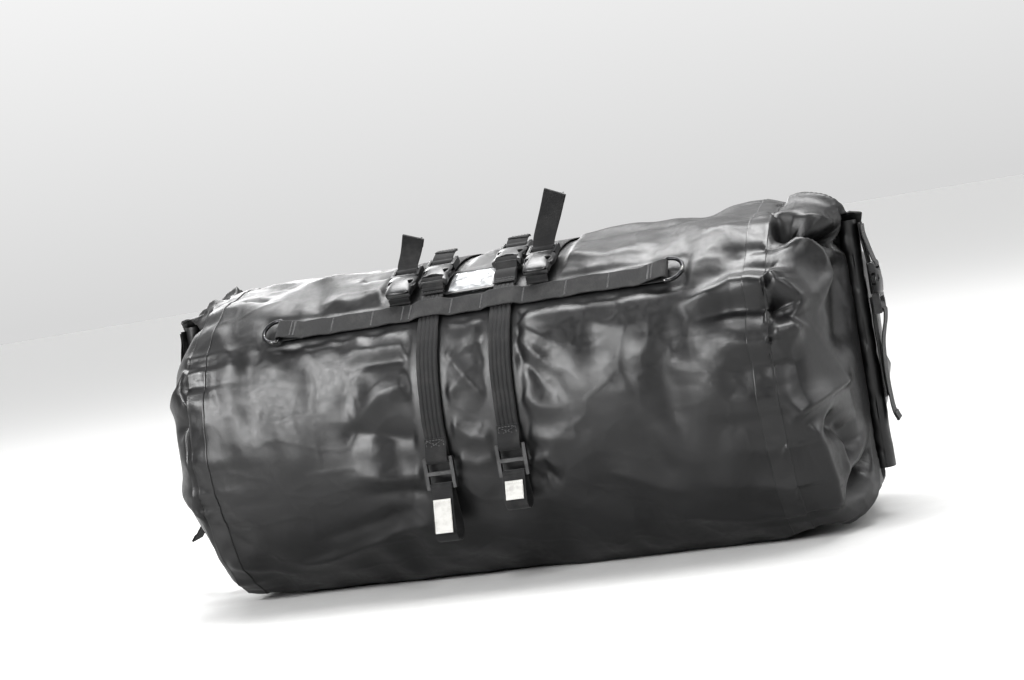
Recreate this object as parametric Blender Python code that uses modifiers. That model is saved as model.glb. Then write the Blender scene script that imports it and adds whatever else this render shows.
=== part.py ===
"""Roll-closure tail bag for a motorcycle: a stuffed waterproof tube lying across a rack.

Metres, +Z up. X is the tube's long axis, -Y is the side that faces the rider's
left, and the origin is under the middle of the bag on the face it rests on.
"""

import math

import bmesh
import bpy
from mathutils import Matrix, Vector

for old in list(bpy.data.objects):
    bpy.data.objects.remove(old, do_unlink=True)

# ---------------------------------------------------------------- dimensions
TUBE_RIGHT = 0.327  # end of the stuffed tube on +X, where the collar is welded
TUBE_LEFT = 0.334  # the same on -X
HALF_DEPTH = 0.190  # half of the tube's depth, front to back
CENTRE_Z = 0.178  # height of the widest line
RISE = 0.172  # from the widest line to the ridge
FALL = 0.200  # from the widest line down, before the flat underside cuts it
SQUARENESS = 2.2  # exponent of the section: 2 is an ellipse
END_LIFT = 0.010  # how far the underside lifts at the tube's ends
FLAT_TO = 0.270  # the underside is flat from -FLAT_TO to +FLAT_TO

COLLAR_LONG = 0.0515  # from the tube's end to the roll
DOME = 0.0640  # how far the stuffed collar bulges beyond the seam, beside the roll
COLLAR_TIP = 0.010  # half depth of the collar where it enters the roll
ROLL_LOW, ROLL_HIGH = 0.052, 0.322  # the roll stands upright on the end
ROLL_PLY = 0.0024
ROLL_PITCH = 0.0034
ROLL_START = 0.0087
ROLL_TURNS = 2.0
ROLL_SQUASH = 0.80
STIFFENER = (0.0024, 0.014, 0.260)

WEB = 0.025  # webbing width
PLY = 0.0016  # one thickness of webbing
GAP = 0.0003
BAND_THICK = 0.0036  # ribbed elastic
BAND_X = (-0.043, 0.040)  # the two stretch straps
SIDE_X = (-0.082, 0.078)  # the two top straps beside them

DAISY_Z = 0.300  # middle of the daisy chain
DAISY_END = 0.222  # D-ring bars, left and right of the middle
DAISY_PLY = 0.0018
RING_WIRE = 0.0022
RING_HALF = 0.0157
RING_DEPTH = 0.0195

CLIP_HALF_W = 0.0175
CLIP_HALF_T = 0.0055
FEMALE_LONG = 0.0335
MALE_LONG = 0.022
BAR_FEMALE = 0.0315  # distance of the female's webbing bar from the parting line
BAR_MALE = -0.014
EYE_IN = 0.0031
EYE_OUT = 0.0049
CLIP_HEIGHT = 0.0086  # middle of a buckle above the bag

LOCK_H = 0.034
LOCK_W = 0.034
LOCK_T = 0.005

# ---------------------------------------------------------------- collections
PARTS = bpy.data.collections.new("roll_top_tail_bag")
CUTTERS = bpy.data.collections.new("roll_top_tail_bag_cutters")
bpy.context.scene.collection.children.link(PARTS)
bpy.context.scene.collection.children.link(CUTTERS)


def material(name, colour, roughness, metallic=0.0):
    m = bpy.data.materials.new(name)
    m.use_nodes = True
    shader = m.node_tree.nodes["Principled BSDF"]
    shader.inputs["Base Color"].default_value = (*colour, 1.0)
    shader.inputs["Roughness"].default_value = roughness
    shader.inputs["Metallic"].default_value = metallic
    return m


LOOKS = {
    "shell": ((0.018, 0.018, 0.020), 0.34, 0.0),
    "collar": ((0.022, 0.022, 0.024), 0.36, 0.0),
    "seam": ((0.030, 0.030, 0.033), 0.40, 0.0),
    "stiffener": ((0.10, 0.10, 0.10), 0.6, 0.0),
    "webbing": ((0.050, 0.050, 0.053), 0.85, 0.0),
    "elastic": ((0.035, 0.035, 0.038), 0.75, 0.0),
    "buckle": ((0.045, 0.045, 0.050), 0.42, 0.0),
    "ring": ((0.10, 0.10, 0.10), 0.35, 1.0),
    "pocket": ((0.35, 0.36, 0.37), 0.12, 0.0),
    "label": ((0.62, 0.62, 0.60), 0.7, 0.0),
}


def add(obj, look):
    """Puts a piece in the object's collection with a material of its own."""
    colour, roughness, metallic = LOOKS[look]
    for c in list(obj.users_collection):
        c.objects.unlink(obj)
    PARTS.objects.link(obj)
    made = material(obj.name + "_" + look, colour, roughness, metallic)
    if len(obj.data.materials) == 0:
        obj.data.materials.append(None)
    obj.material_slots[0].link = "OBJECT"
    obj.material_slots[0].material = made
    return obj


def mesh_object(name, bm, matrix=Matrix.Identity(4)):
    mesh = bpy.data.meshes.new(name)
    bm.to_mesh(mesh)
    bm.free()
    obj = bpy.data.objects.new(name, mesh)
    obj.matrix_world = matrix
    return obj


def loft(name, rings, closed_ends=True):
    """Skins equal rings of points; the ends are capped unless told otherwise."""
    bm = bmesh.new()
    made = [[bm.verts.new(p) for p in ring] for ring in rings]
    n = len(rings[0])
    for first, second in zip(made, made[1:]):
        for i in range(n):
            j = (i + 1) % n
            bm.faces.new((first[i], first[j], second[j], second[i]))
    if closed_ends:
        bm.faces.new(list(reversed(made[0])))
        bm.faces.new(made[-1])
    bmesh.ops.recalc_face_normals(bm, faces=bm.faces)
    return mesh_object(name, bm)


def axes(x, y, z, origin):
    m = Matrix((x, y, z)).transposed().to_4x4()
    m.translation = Vector(origin)
    return m


def flat_shape(name, outlines, half, matrix):
    """A flat outline, with its holes, extruded by half on both sides of its plane."""
    curve = bpy.data.curves.new(name, "CURVE")
    curve.dimensions = "2D"
    curve.fill_mode = "BOTH"
    curve.extrude = half
    for outline in outlines:
        spline = curve.splines.new("POLY")
        spline.points.add(len(outline) - 1)
        for point, (a, b) in zip(spline.points, outline):
            point.co = (a, b, 0.0, 1.0)
        spline.use_cyclic_u = True
    obj = bpy.data.objects.new(name, curve)
    obj.matrix_world = matrix
    return obj


def as_mesh(obj):
    """The evaluated shape as a plain mesh object in the same place."""
    for c in (PARTS, CUTTERS):
        if obj.name in c.objects:
            break
    else:
        CUTTERS.objects.link(obj)
    bpy.context.view_layer.update()
    graph = bpy.context.evaluated_depsgraph_get()
    mesh = bpy.data.meshes.new_from_object(obj.evaluated_get(graph))
    bm = bmesh.new()
    bm.from_mesh(mesh)
    bmesh.ops.remove_doubles(bm, verts=bm.verts, dist=1e-6)
    bmesh.ops.recalc_face_normals(bm, faces=bm.faces)
    bm.to_mesh(mesh)
    bm.free()
    place = obj.matrix_world.copy()
    name = obj.name
    bpy.data.objects.remove(obj, do_unlink=True)
    made = bpy.data.objects.new(name, mesh)
    made.matrix_world = place
    return made


def block(name, low, high):
    bm = bmesh.new()
    bmesh.ops.create_cube(bm, size=1.0)
    size = [h - l for l, h in zip(low, high)]
    mid = [(h + l) / 2 for l, h in zip(low, high)]
    bmesh.ops.scale(bm, vec=size, verts=bm.verts)
    bmesh.ops.translate(bm, vec=mid, verts=bm.verts)
    return mesh_object(name, bm)


def combined(base, operation, tools):
    """One mesh from a base and its tools, which are used up."""
    if base.name not in CUTTERS.objects:
        CUTTERS.objects.link(base)
    for tool in tools:
        if tool.name not in CUTTERS.objects:
            CUTTERS.objects.link(tool)
        tool.hide_render = True
        tool.display_type = "WIRE"
        step = base.modifiers.new(tool.name, "BOOLEAN")
        step.operation = operation
        step.object = tool
    made = as_mesh(base)
    for tool in tools:
        bpy.data.objects.remove(tool, do_unlink=True)
    return made


# ---------------------------------------------------------------- the section
def power(v):
    return math.copysign(abs(v) ** (2.0 / SQUARENESS), v)


def section_point(t, half_depth=HALF_DEPTH, rise=RISE, fall=FALL, floor=0.0, centre=CENTRE_Z):
    """t is 0 at the front, 90 at the ridge, 180 at the back, in degrees."""
    c, s = math.cos(math.radians(t)), math.sin(math.radians(t))
    y = -half_depth * power(c)
    z = centre + (rise if s >= 0 else fall) * power(s)
    return y, max(z, floor)


def normal_at(t):
    y0, z0 = section_point(t - 0.5)
    y1, z1 = section_point(t + 0.5)
    length = math.hypot(y1 - y0, z1 - z0)
    # the front-to-ridge direction turned towards the outside
    return -(z1 - z0) / length, (y1 - y0) / length


def over(t, height):
    """A point at a height above the tube."""
    y, z = section_point(t)
    ny, nz = normal_at(t)
    return y + ny * height, z + nz * height


def angle_of_depth(depth):
    """The angle t above the front where the tube's y is -depth."""
    low, high = 0.0, 90.0
    for _ in range(60):
        mid = (low + high) / 2
        if -section_point(mid)[0] > depth:
            low = mid
        else:
            high = mid
    return (low + high) / 2


def angle_of_height(z):
    low, high = 0.0, 90.0
    for _ in range(60):
        mid = (low + high) / 2
        if section_point(mid)[1] < z:
            low = mid
        else:
            high = mid
    return (low + high) / 2


def sweep(t0, t1, height, step=3.0):
    count = max(2, int(abs(t1 - t0) / step) + 1)
    return [over(t0 + (t1 - t0) * i / count, height) for i in range(count + 1)]


def mirror_y(points):
    return [(-y, z) for y, z in points]


# ---------------------------------------------------------------- outlines
def hull_arc(centre, toward, radius, far, far_radius, start, end, steps=18):
    """Round a small circle and a larger one beyond it, clockwise from the direction toward."""
    cx, cy = centre
    base = math.atan2(toward[1], toward[0])
    fx, fy = cx - toward[0] * far, cy - toward[1] * far
    lean = math.asin((far_radius - radius) / far) if far > 1e-6 else 0.0
    quarter = math.pi / 2 - lean
    points = []

    def arc(x, y, r, a, b, n):
        for i in range(n + 1):
            angle = base - (a + (b - a) * i / n)
            points.append((x + r * math.cos(angle), y + r * math.sin(angle)))

    if far < 1e-6:
        arc(cx, cy, radius, start, end, steps)
    else:
        arc(cx, cy, radius, start, quarter, max(2, steps // 4))
        arc(fx, fy, far_radius, quarter, 2 * math.pi - quarter, steps)
        arc(cx, cy, radius, 2 * math.pi - quarter, end, max(2, steps // 4))
    return points


def strap(points, thick, eye_start=None, eye_end=None):
    """Outlines of a strap seen edge on. An eye is (radius, inner radius, far, far radius, far inner radius)
    round the strap's first or last point; far is how much further a loop's big end lies."""
    pts = [Vector(p) for p in points]
    holes = []

    def trimmed(seq, eye):
        centre, radius = seq[-1], eye[0]
        keep = list(seq[:-1])
        while len(keep) > 1 and (keep[-1] - centre).length < radius * 1.02:
            keep.pop()
        return keep, centre

    def turned(seq, eye):
        keep, centre = trimmed(seq, eye)
        toward = (keep[-1] - centre).normalized()
        spread = math.asin(min(1.0, thick / 2 / eye[0]))
        edge = centre + toward * (eye[0] * math.cos(spread))
        ring = hull_arc(tuple(centre), tuple(toward), eye[0], eye[2], eye[3], spread, 2 * math.pi - spread)
        lean_hole = hull_arc(
            tuple(centre), tuple(toward), eye[1], eye[2], eye[4],
            0.0 if eye[2] < 1e-6 else 0.0001, 2 * math.pi - 0.0001 if eye[2] > 1e-6 else 2 * math.pi * 17 / 18,
            18 if eye[2] > 1e-6 else 17,
        )
        holes.append(lean_hole)
        return keep, edge, ring

    ring_end = ring_start = None
    if eye_end:
        pts, edge, ring_end = turned(pts, eye_end)
        pts = pts + [edge]
    if eye_start:
        back, edge, ring_start = turned(list(reversed(pts)), eye_start)
        pts = [edge] + list(reversed(back))
    left, right = [], []
    for i, p in enumerate(pts):
        before, after = pts[max(0, i - 1)], pts[min(len(pts) - 1, i + 1)]
        along = (after - before).normalized()
        side = Vector((-along.y, along.x))
        left.append(tuple(p + side * thick / 2))
        right.append(tuple(p - side * thick / 2))
    outline = []
    if ring_end:
        outline += left[:-1] + ring_end + list(reversed(right[:-1]))
    else:
        outline += left + list(reversed(right))
    if ring_start:
        # the ring closes the outline between its last and first points
        first = left[0]
        last = right[0]
        outline = [p for p in outline if p != first and p != last] + ring_start
    return [outline] + holes


def upright(name, outlines, x, width, look):
    """A strap whose edge-on outline lies in the YZ plane, at x."""
    matrix = axes((0, 1, 0), (0, 0, 1), (1, 0, 0), (x, 0, 0))
    return add(flat_shape(name, outlines, width / 2, matrix), look)


def side_on(name, outlines, y, width, look):
    """A strap whose edge-on outline lies in the XZ plane, at y."""
    matrix = axes((1, 0, 0), (0, 0, 1), (0, -1, 0), (0, y, 0))
    return add(flat_shape(name, outlines, width / 2, matrix), look)


# ---------------------------------------------------------------- bag shell
AROUND = 56


def ring_at(x, half_depth=HALF_DEPTH, rise=RISE, fall=FALL, floor=0.0, centre=CENTRE_Z):
    return [
        (x, *section_point(-90 + 360.0 * i / AROUND, half_depth, rise, fall, floor, centre))
        for i in range(AROUND)
    ]


def tube_ring(x):
    end = TUBE_RIGHT if x > 0 else TUBE_LEFT
    share = max(0.0, (abs(x) - FLAT_TO) / (end - FLAT_TO))
    return ring_at(
        x, HALF_DEPTH - 0.002 * share, RISE - 0.001 * share, FALL, END_LIFT * share
    )


stations = [-TUBE_LEFT + 0.0002, -0.305, -FLAT_TO, -0.13, 0.0, 0.13, FLAT_TO, 0.300, TUBE_RIGHT - 0.0002]
tube = loft("bag_tube", [tube_ring(x) for x in stations])
tube.data.shade_smooth()
tube.data.set_sharp_from_angle(angle=math.radians(50))
add(tube, "shell")


def collar(name, sign, start):
    """The lighter mouth of the bag: a dome from the seam to the upright roll, which lies in a groove in it."""
    rings = []
    steps = 8
    for i in range(steps + 1):
        angle = math.radians(90.0 * i / steps)
        keep, out = math.cos(angle), math.sin(angle)
        half = COLLAR_TIP + (HALF_DEPTH - 0.002 - COLLAR_TIP) * keep
        top = ROLL_HIGH + (CENTRE_Z + RISE - 0.001 - ROLL_HIGH) * keep
        low = ROLL_LOW + (END_LIFT - ROLL_LOW) * keep
        centre = 0.187 + (CENTRE_Z - 0.187) * keep
        fall = (centre - low) + (FALL - (centre - low)) * keep
        x = sign * (start + 0.0002 + DOME * out)
        rings.append(ring_at(x, half, top - centre, fall, low, centre))
    made = loft(name, rings if sign > 0 else list(reversed(rings)))
    near = start + COLLAR_LONG + 0.0002
    far = start + DOME + 0.02
    low_x, high_x = (near, far) if sign > 0 else (-far, -near)
    made = combined(made, "DIFFERENCE", [block("roll_groove_" + name, (low_x, -0.0190, 0.0), (high_x, 0.0190, 0.4))])
    made.data.shade_smooth()
    made.data.set_sharp_from_angle(angle=math.radians(50))
    return add(made, "collar")


def seam_band(name, sign, start):
    """A welded tape round the tube where its collar is joined on."""
    rings = []
    for x in (start - 0.0215, start - 0.0008):
        points = []
        share = max(0.0, (x - FLAT_TO) / (start - FLAT_TO))
        outer = ring_at(sign * x, HALF_DEPTH - 0.002 * share + 0.0005, RISE + 0.0005, FALL, END_LIFT * share - 0.0005)
        points.extend(outer)
        rings.append(points)
    if sign < 0:
        rings.reverse()
    made = loft(name, rings, closed_ends=False)
    thick = made.modifiers.new("thickness", "SOLIDIFY")
    thick.thickness = 0.0010
    thick.offset = 1.0
    return add(made, "seam")


def roll(name, sign, start):
    """The mouth, rolled twice round its stiffener and lying upright on the end."""
    centre_x = sign * (start + 0.0002 + COLLAR_LONG + 0.0004
                       + (ROLL_START + ROLL_PITCH * ROLL_TURNS + ROLL_PLY / 2) * ROLL_SQUASH)
    count = int(22 * ROLL_TURNS)
    inner, outer = [], []
    for i in range(count + 1):
        turn = ROLL_TURNS * i / count
        angle = math.pi + 2 * math.pi * turn
        for side, store in ((-1, inner), (1, outer)):
            r = ROLL_START + ROLL_PITCH * turn
            x = r * math.cos(angle) * ROLL_SQUASH
            y = r * math.sin(angle)
            nx, ny = math.cos(angle) / ROLL_SQUASH, math.sin(angle)
            long = math.hypot(nx, ny)
            store.append((x + side * ROLL_PLY / 2 * nx / long, y + side * ROLL_PLY / 2 * ny / long))
    outline = [(sign * x, y) for x, y in outer + list(reversed(inner))]
    matrix = axes((1, 0, 0), (0, 1, 0), (0, 0, 1), (centre_x, 0, (ROLL_LOW + ROLL_HIGH) / 2))
    add(flat_shape(name, [outline], (ROLL_HIGH - ROLL_LOW) / 2, matrix), "collar")
    return centre_x


def stiffener(name, centre_x):
    w, d, h = STIFFENER
    mid = (ROLL_LOW + ROLL_HIGH) / 2
    made = block(name, (-w / 2, -d / 2, -h / 2), (w / 2, d / 2, h / 2))
    made.location = (centre_x, 0, mid)
    edge = made.modifiers.new("edges", "BEVEL")
    edge.width = 0.0005
    edge.segments = 1
    return add(made, "stiffener")


collar("end_collar_right", 1, TUBE_RIGHT)
collar("end_collar_left", -1, TUBE_LEFT)
seam_band("seam_band_right", 1, TUBE_RIGHT)
seam_band("seam_band_left", -1, TUBE_LEFT)
roll_x = {1: roll("closure_roll_right", 1, TUBE_RIGHT), -1: roll("closure_roll_left", -1, TUBE_LEFT)}
stiffener("mouth_stiffener_right", roll_x[1])
stiffener("mouth_stiffener_left", roll_x[-1])
ROLL_FACE = (ROLL_START + ROLL_PITCH * ROLL_TURNS + ROLL_PLY / 2) * ROLL_SQUASH  # the roll's outer face from its middle

# ---------------------------------------------------------------- daisy chains and D-rings
DAISY_T = angle_of_height(DAISY_Z)
DAISY_Y, _ = section_point(DAISY_T)
DAISY_N = normal_at(DAISY_T)  # (y, z) of the outward direction


def daisy_height(x, strap_thick):
    """Middle of the webbing above the bag: flat on it, humped over the two straps."""
    base = GAP + DAISY_PLY / 2
    rise = GAP + strap_thick
    best = 0.0
    for centre in BAND_X:
        away = abs(x - centre) - (WEB / 2 + 0.0012)
        best = max(best, 1.0 - max(0.0, away) / 0.009)
    best = max(0.0, best)
    return base + rise * best


def daisy(name, back, strap_thick):
    sign = 1 if back else -1
    ny, nz = (-DAISY_N[0] if back else DAISY_N[0]), DAISY_N[1]
    xs = sorted(
        {round(x, 5) for c in BAND_X for x in (c - 0.0233, c - 0.0137, c + 0.0137, c + 0.0233)}
        | {round(-0.200 + 0.05 * i, 5) for i in range(9) if abs(-0.200 + 0.05 * i) > 0.09}
    )
    run = [(x, daisy_height(x, strap_thick)) for x in xs]
    bar = 0.0050
    run = [(-DAISY_END, bar), (-DAISY_END + 0.009, 0.0034)] + run + [(DAISY_END - 0.009, 0.0034), (DAISY_END, bar)]
    eye = (0.0046, 0.0029, 0.0, 0.0046, 0.0029)
    outlines = strap(run, DAISY_PLY, eye, eye)
    y, z = sign * abs(DAISY_Y), DAISY_Z
    third = Vector((1, 0, 0)).cross(Vector((0, ny, nz)))
    matrix = axes((1, 0, 0), (0, ny, nz), tuple(third), (0, y, z))
    add(flat_shape(name, outlines, WEB / 2, matrix), "webbing")
    return Vector((0, y, z)), Vector((0, ny, nz)), third, bar


def d_ring(name, place, outward, across, end, bar):
    """A welded wire D whose straight bar is in the webbing's end and whose bow points along the bag."""
    points = []
    half = RING_HALF
    for i in range(3):
        points.append((0.0, -half + 0.004 + i * (half - 0.004)))
    points.append((0.0, half - 0.0035))
    points += [(0.0008, half - 0.0012), (0.0030, half)]
    bow = RING_DEPTH - 0.0035
    for i in range(1, 14):
        angle = math.pi / 2 - math.pi * i / 14
        points.append((0.0040 + bow * math.cos(angle), half * math.sin(angle)))
    points += [(0.0030, -half), (0.0008, -half + 0.0012)]
    curve = bpy.data.curves.new(name, "CURVE")
    curve.dimensions = "3D"
    curve.bevel_depth = RING_WIRE
    curve.bevel_resolution = 2
    spline = curve.splines.new("POLY")
    spline.points.add(len(points) - 1)
    for point, (a, b) in zip(spline.points, points):
        point.co = (a, b, 0.0, 1.0)
    spline.use_cyclic_u = True
    obj = bpy.data.objects.new(name, curve)
    along = Vector((end, 0, 0))
    side = outward.cross(along)
    obj.matrix_world = axes(tuple(along), tuple(side), tuple(outward), tuple(place + Vector((end * DAISY_END, 0, 0)) + outward * bar))
    return add(obj, "ring")


for label, back, thick in (("front", False, BAND_THICK), ("rear", True, PLY)):
    place, outward, across, bar = daisy("daisy_chain_" + label, back, thick)
    d_ring("d_ring_" + label + "_left", place, outward, across, -1, bar)
    d_ring("d_ring_" + label + "_right", place, outward, across, 1, bar)

# ---------------------------------------------------------------- side-release buckles
# Local axes: x across, y from the male half towards the female half's nose, z up out of the buckle.


def female_mesh(name, hooded):
    w, t = CLIP_HALF_W, CLIP_HALF_T
    nose = 0.0375 if hooded else FEMALE_LONG
    if hooded:
        outline = [(-w + 0.001, 0.0), (-w, 0.003), (-w, 0.012), (-0.0155, 0.017), (-0.0150, 0.030)]
        for i in range(1, 8):
            angle = math.pi - math.pi * i / 8
            outline.append((0.0148 * math.cos(angle), 0.0300 + 0.0075 * math.sin(angle)))
        outline += [(0.0150, 0.030), (0.0155, 0.017), (w, 0.012), (w, 0.003), (w - 0.001, 0.0)]
    else:
        outline = [(-w + 0.001, 0.0), (-w, 0.003), (-w, 0.012), (-0.0158, 0.018), (-0.0158, 0.026), (-w + 0.0003, nose - 0.002),
                   (-w + 0.0015, nose), (w - 0.0015, nose), (w - 0.0003, nose - 0.002), (0.0158, 0.026), (0.0158, 0.018),
                   (w, 0.012), (w, 0.003), (w - 0.001, 0.0)]
    body = as_mesh(flat_shape(name, [outline], t, Matrix.Identity(4)))
    edge = body.modifiers.new("edges", "BEVEL")
    edge.width = 0.0009
    edge.segments = 2
    edge.limit_method = "ANGLE"
    edge.angle_limit = math.radians(50)
    tools = [
        block("pocket_cut", (-0.0146, -0.002, -0.0033), (0.0146, 0.0245, 0.0033)),
        block("side_cut", (-0.030, -0.003, -0.0026), (0.030, 0.0225, 0.0026)),
    ]
    if hooded:
        tools += [
            block("slot_cut", (-0.0130, 0.0255, -0.008), (0.0130, 0.0295, 0.0027)),
            block("under_cut", (-0.0131, 0.0294, -0.008), (0.0131, 0.045, -0.0044)),
            block("above_cut", (-0.0132, 0.0293, -0.0004), (0.0132, 0.0335, 0.0027)),
            block("front_cut", (-0.0133, 0.0334, -0.009), (0.0133, 0.050, 0.0028)),
        ]
    else:
        tools += [
            block("slot_cut", (-0.0130, 0.0255, -0.008), (0.0130, 0.0295, 0.008)),
            block("under_cut", (-0.0131, 0.0294, -0.008), (0.0131, 0.045, -0.0020)),
            block("above_cut", (-0.0132, 0.0293, 0.0020), (0.0132, 0.045, 0.0081)),
        ]
    return combined(body, "DIFFERENCE", tools)


def male_mesh(name):
    half, b = 0.0168, 0.0130
    thin = [
        (-half, 0.0), (-half, -MALE_LONG), (half, -MALE_LONG), (half, 0.0), (0.0128, 0.0), (0.0126, 0.009),
        (0.0168, 0.0125), (0.0165, 0.0195), (0.0130, 0.0218), (0.0102, 0.0216), (0.0092, 0.010), (0.0090, 0.0006),
        (0.0030, 0.0006), (0.0026, 0.0190), (-0.0026, 0.0190), (-0.0030, 0.0006),
        (-0.0090, 0.0006), (-0.0092, 0.010), (-0.0102, 0.0216), (-0.0130, 0.0218), (-0.0165, 0.0195),
        (-0.0168, 0.0125), (-0.0126, 0.009), (-0.0128, 0.0),
    ]
    slots = [
        [(-b, -0.0045), (b, -0.0045), (b, -0.0120), (-b, -0.0120)],
        [(-b, -0.0160), (b, -0.0160), (b, -0.0200), (-b, -0.0200)],
    ]
    base = as_mesh(flat_shape(name, [thin] + slots, 0.0020, Matrix.Identity(4)))
    u = [(-half, -0.0005), (-half, -MALE_LONG + 0.0004), (-b - 0.0002, -MALE_LONG + 0.0004), (-b - 0.0002, -0.0043),
         (b + 0.0002, -0.0043), (b + 0.0002, -MALE_LONG + 0.0004), (half, -MALE_LONG + 0.0004), (half, -0.0005)]
    frame = as_mesh(flat_shape(name + "_frame", [u], 0.0040, Matrix.Identity(4)))
    return combined(base, "UNION", [frame])


def tail_outline(route):
    """The webbing's roll round the male half's bar, and the loose tail that leaves it. The route is in the
    buckle's own (length, height) plane and ends at the bar."""
    return strap(route + [(BAR_MALE, 0.0)], PLY, None, (EYE_OUT, EYE_IN, 0.0, EYE_OUT, EYE_IN))


female_plain = female_mesh("female_plain", False)
female_hood = female_mesh("female_hood", True)
male_plain = male_mesh("male_plain")


def place_copy(source, name, matrix, look):
    made = bpy.data.objects.new(name, source.data)
    made.matrix_world = matrix
    return add(made, look)


def clip(label, matrix, hooded, route):
    """A closed buckle: its female half, its male half and the tail threaded on the male half."""
    place_copy(female_hood if hooded else female_plain, "clip_female_" + label, matrix, "buckle")
    place_copy(male_plain, "clip_male_" + label, matrix, "buckle")
    turn = matrix @ axes((0, 1, 0), (0, 0, 1), (1, 0, 0), (0, 0, 0))
    add(flat_shape("strap_tail_" + label, tail_outline(route), WEB / 2, turn), "webbing")


def top_frame(x, depth):
    """Buckle axes over the tube's front shoulder: y runs down to the front, z points out."""
    t = angle_of_depth(depth)
    ny, nz = normal_at(t)
    out = Vector((0, ny, nz))
    down = Vector((0, -nz, ny))
    if down.y > 0:
        down = -down
    across = down.cross(out)
    y, z = over(t, CLIP_HEIGHT)
    return axes(tuple(across), tuple(down), tuple(out), (x, y, z)), t


def end_frame(sign):
    out = Vector((sign, 0, 0))
    up = Vector((0, 0, 1))
    x = roll_x[sign] + sign * (ROLL_FACE + 0.0082)
    return axes(tuple(up.cross(out)), tuple(up), tuple(out), (x, 0, 0.240))


def standing(long, lean):
    """A tail that stands off the bag: back over the bar, then up."""
    c, s = math.cos(math.radians(lean)), math.sin(math.radians(lean))
    foot = (-0.0205, 0.0066)
    points = []
    for i in range(7):
        k = 1 - i / 6
        bend = 0.004 * math.sin(math.pi * k)
        points.append((foot[0] - c * long * k - s * bend, foot[1] + s * long * k - c * bend))
    return points


def lying(long, rise=0.0052):
    return [(-0.0190 - long * (1 - i / 4), rise + 0.0016 * math.sin(math.pi * i / 4)) for i in range(5)]


CLIP_DEPTH = {"a": 0.100, "b": 0.090, "c": 0.074, "d": 0.098}
CLIP_X = {"a": SIDE_X[0], "b": BAND_X[0], "c": BAND_X[1], "d": SIDE_X[1]}
ROUTES = {"a": standing(0.030, 62), "b": lying(0.016), "c": lying(0.012), "d": standing(0.052, 72)}
frames = {}
for label in "abcd":
    matrix, t = top_frame(CLIP_X[label], CLIP_DEPTH[label])
    frames[label] = (matrix, t)
    clip("top_" + label, matrix, label in "ad", ROUTES[label])

# the closure buckles on the two ends, with a long tail down the roll
right_route = [(-0.139 + 0.01714 * i, 0.0054 + 0.0008 * math.sin(i * 0.9)) for i in range(8)]
left_route = [(-0.176, 0.036), (-0.165, 0.026), (-0.154, 0.0165), (-0.143, 0.0095)] + [(-0.131 + 0.016 * i, 0.0054) for i in range(8)]
clip("end_right", end_frame(1), False, right_route)
clip("end_left", end_frame(-1), False, left_route)
for source in (female_plain, female_hood, male_plain):
    bpy.data.objects.remove(source, do_unlink=True)


def in_yz(matrix, along, height):
    p = matrix @ Vector((0, along, height))
    return p.y, p.z


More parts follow.
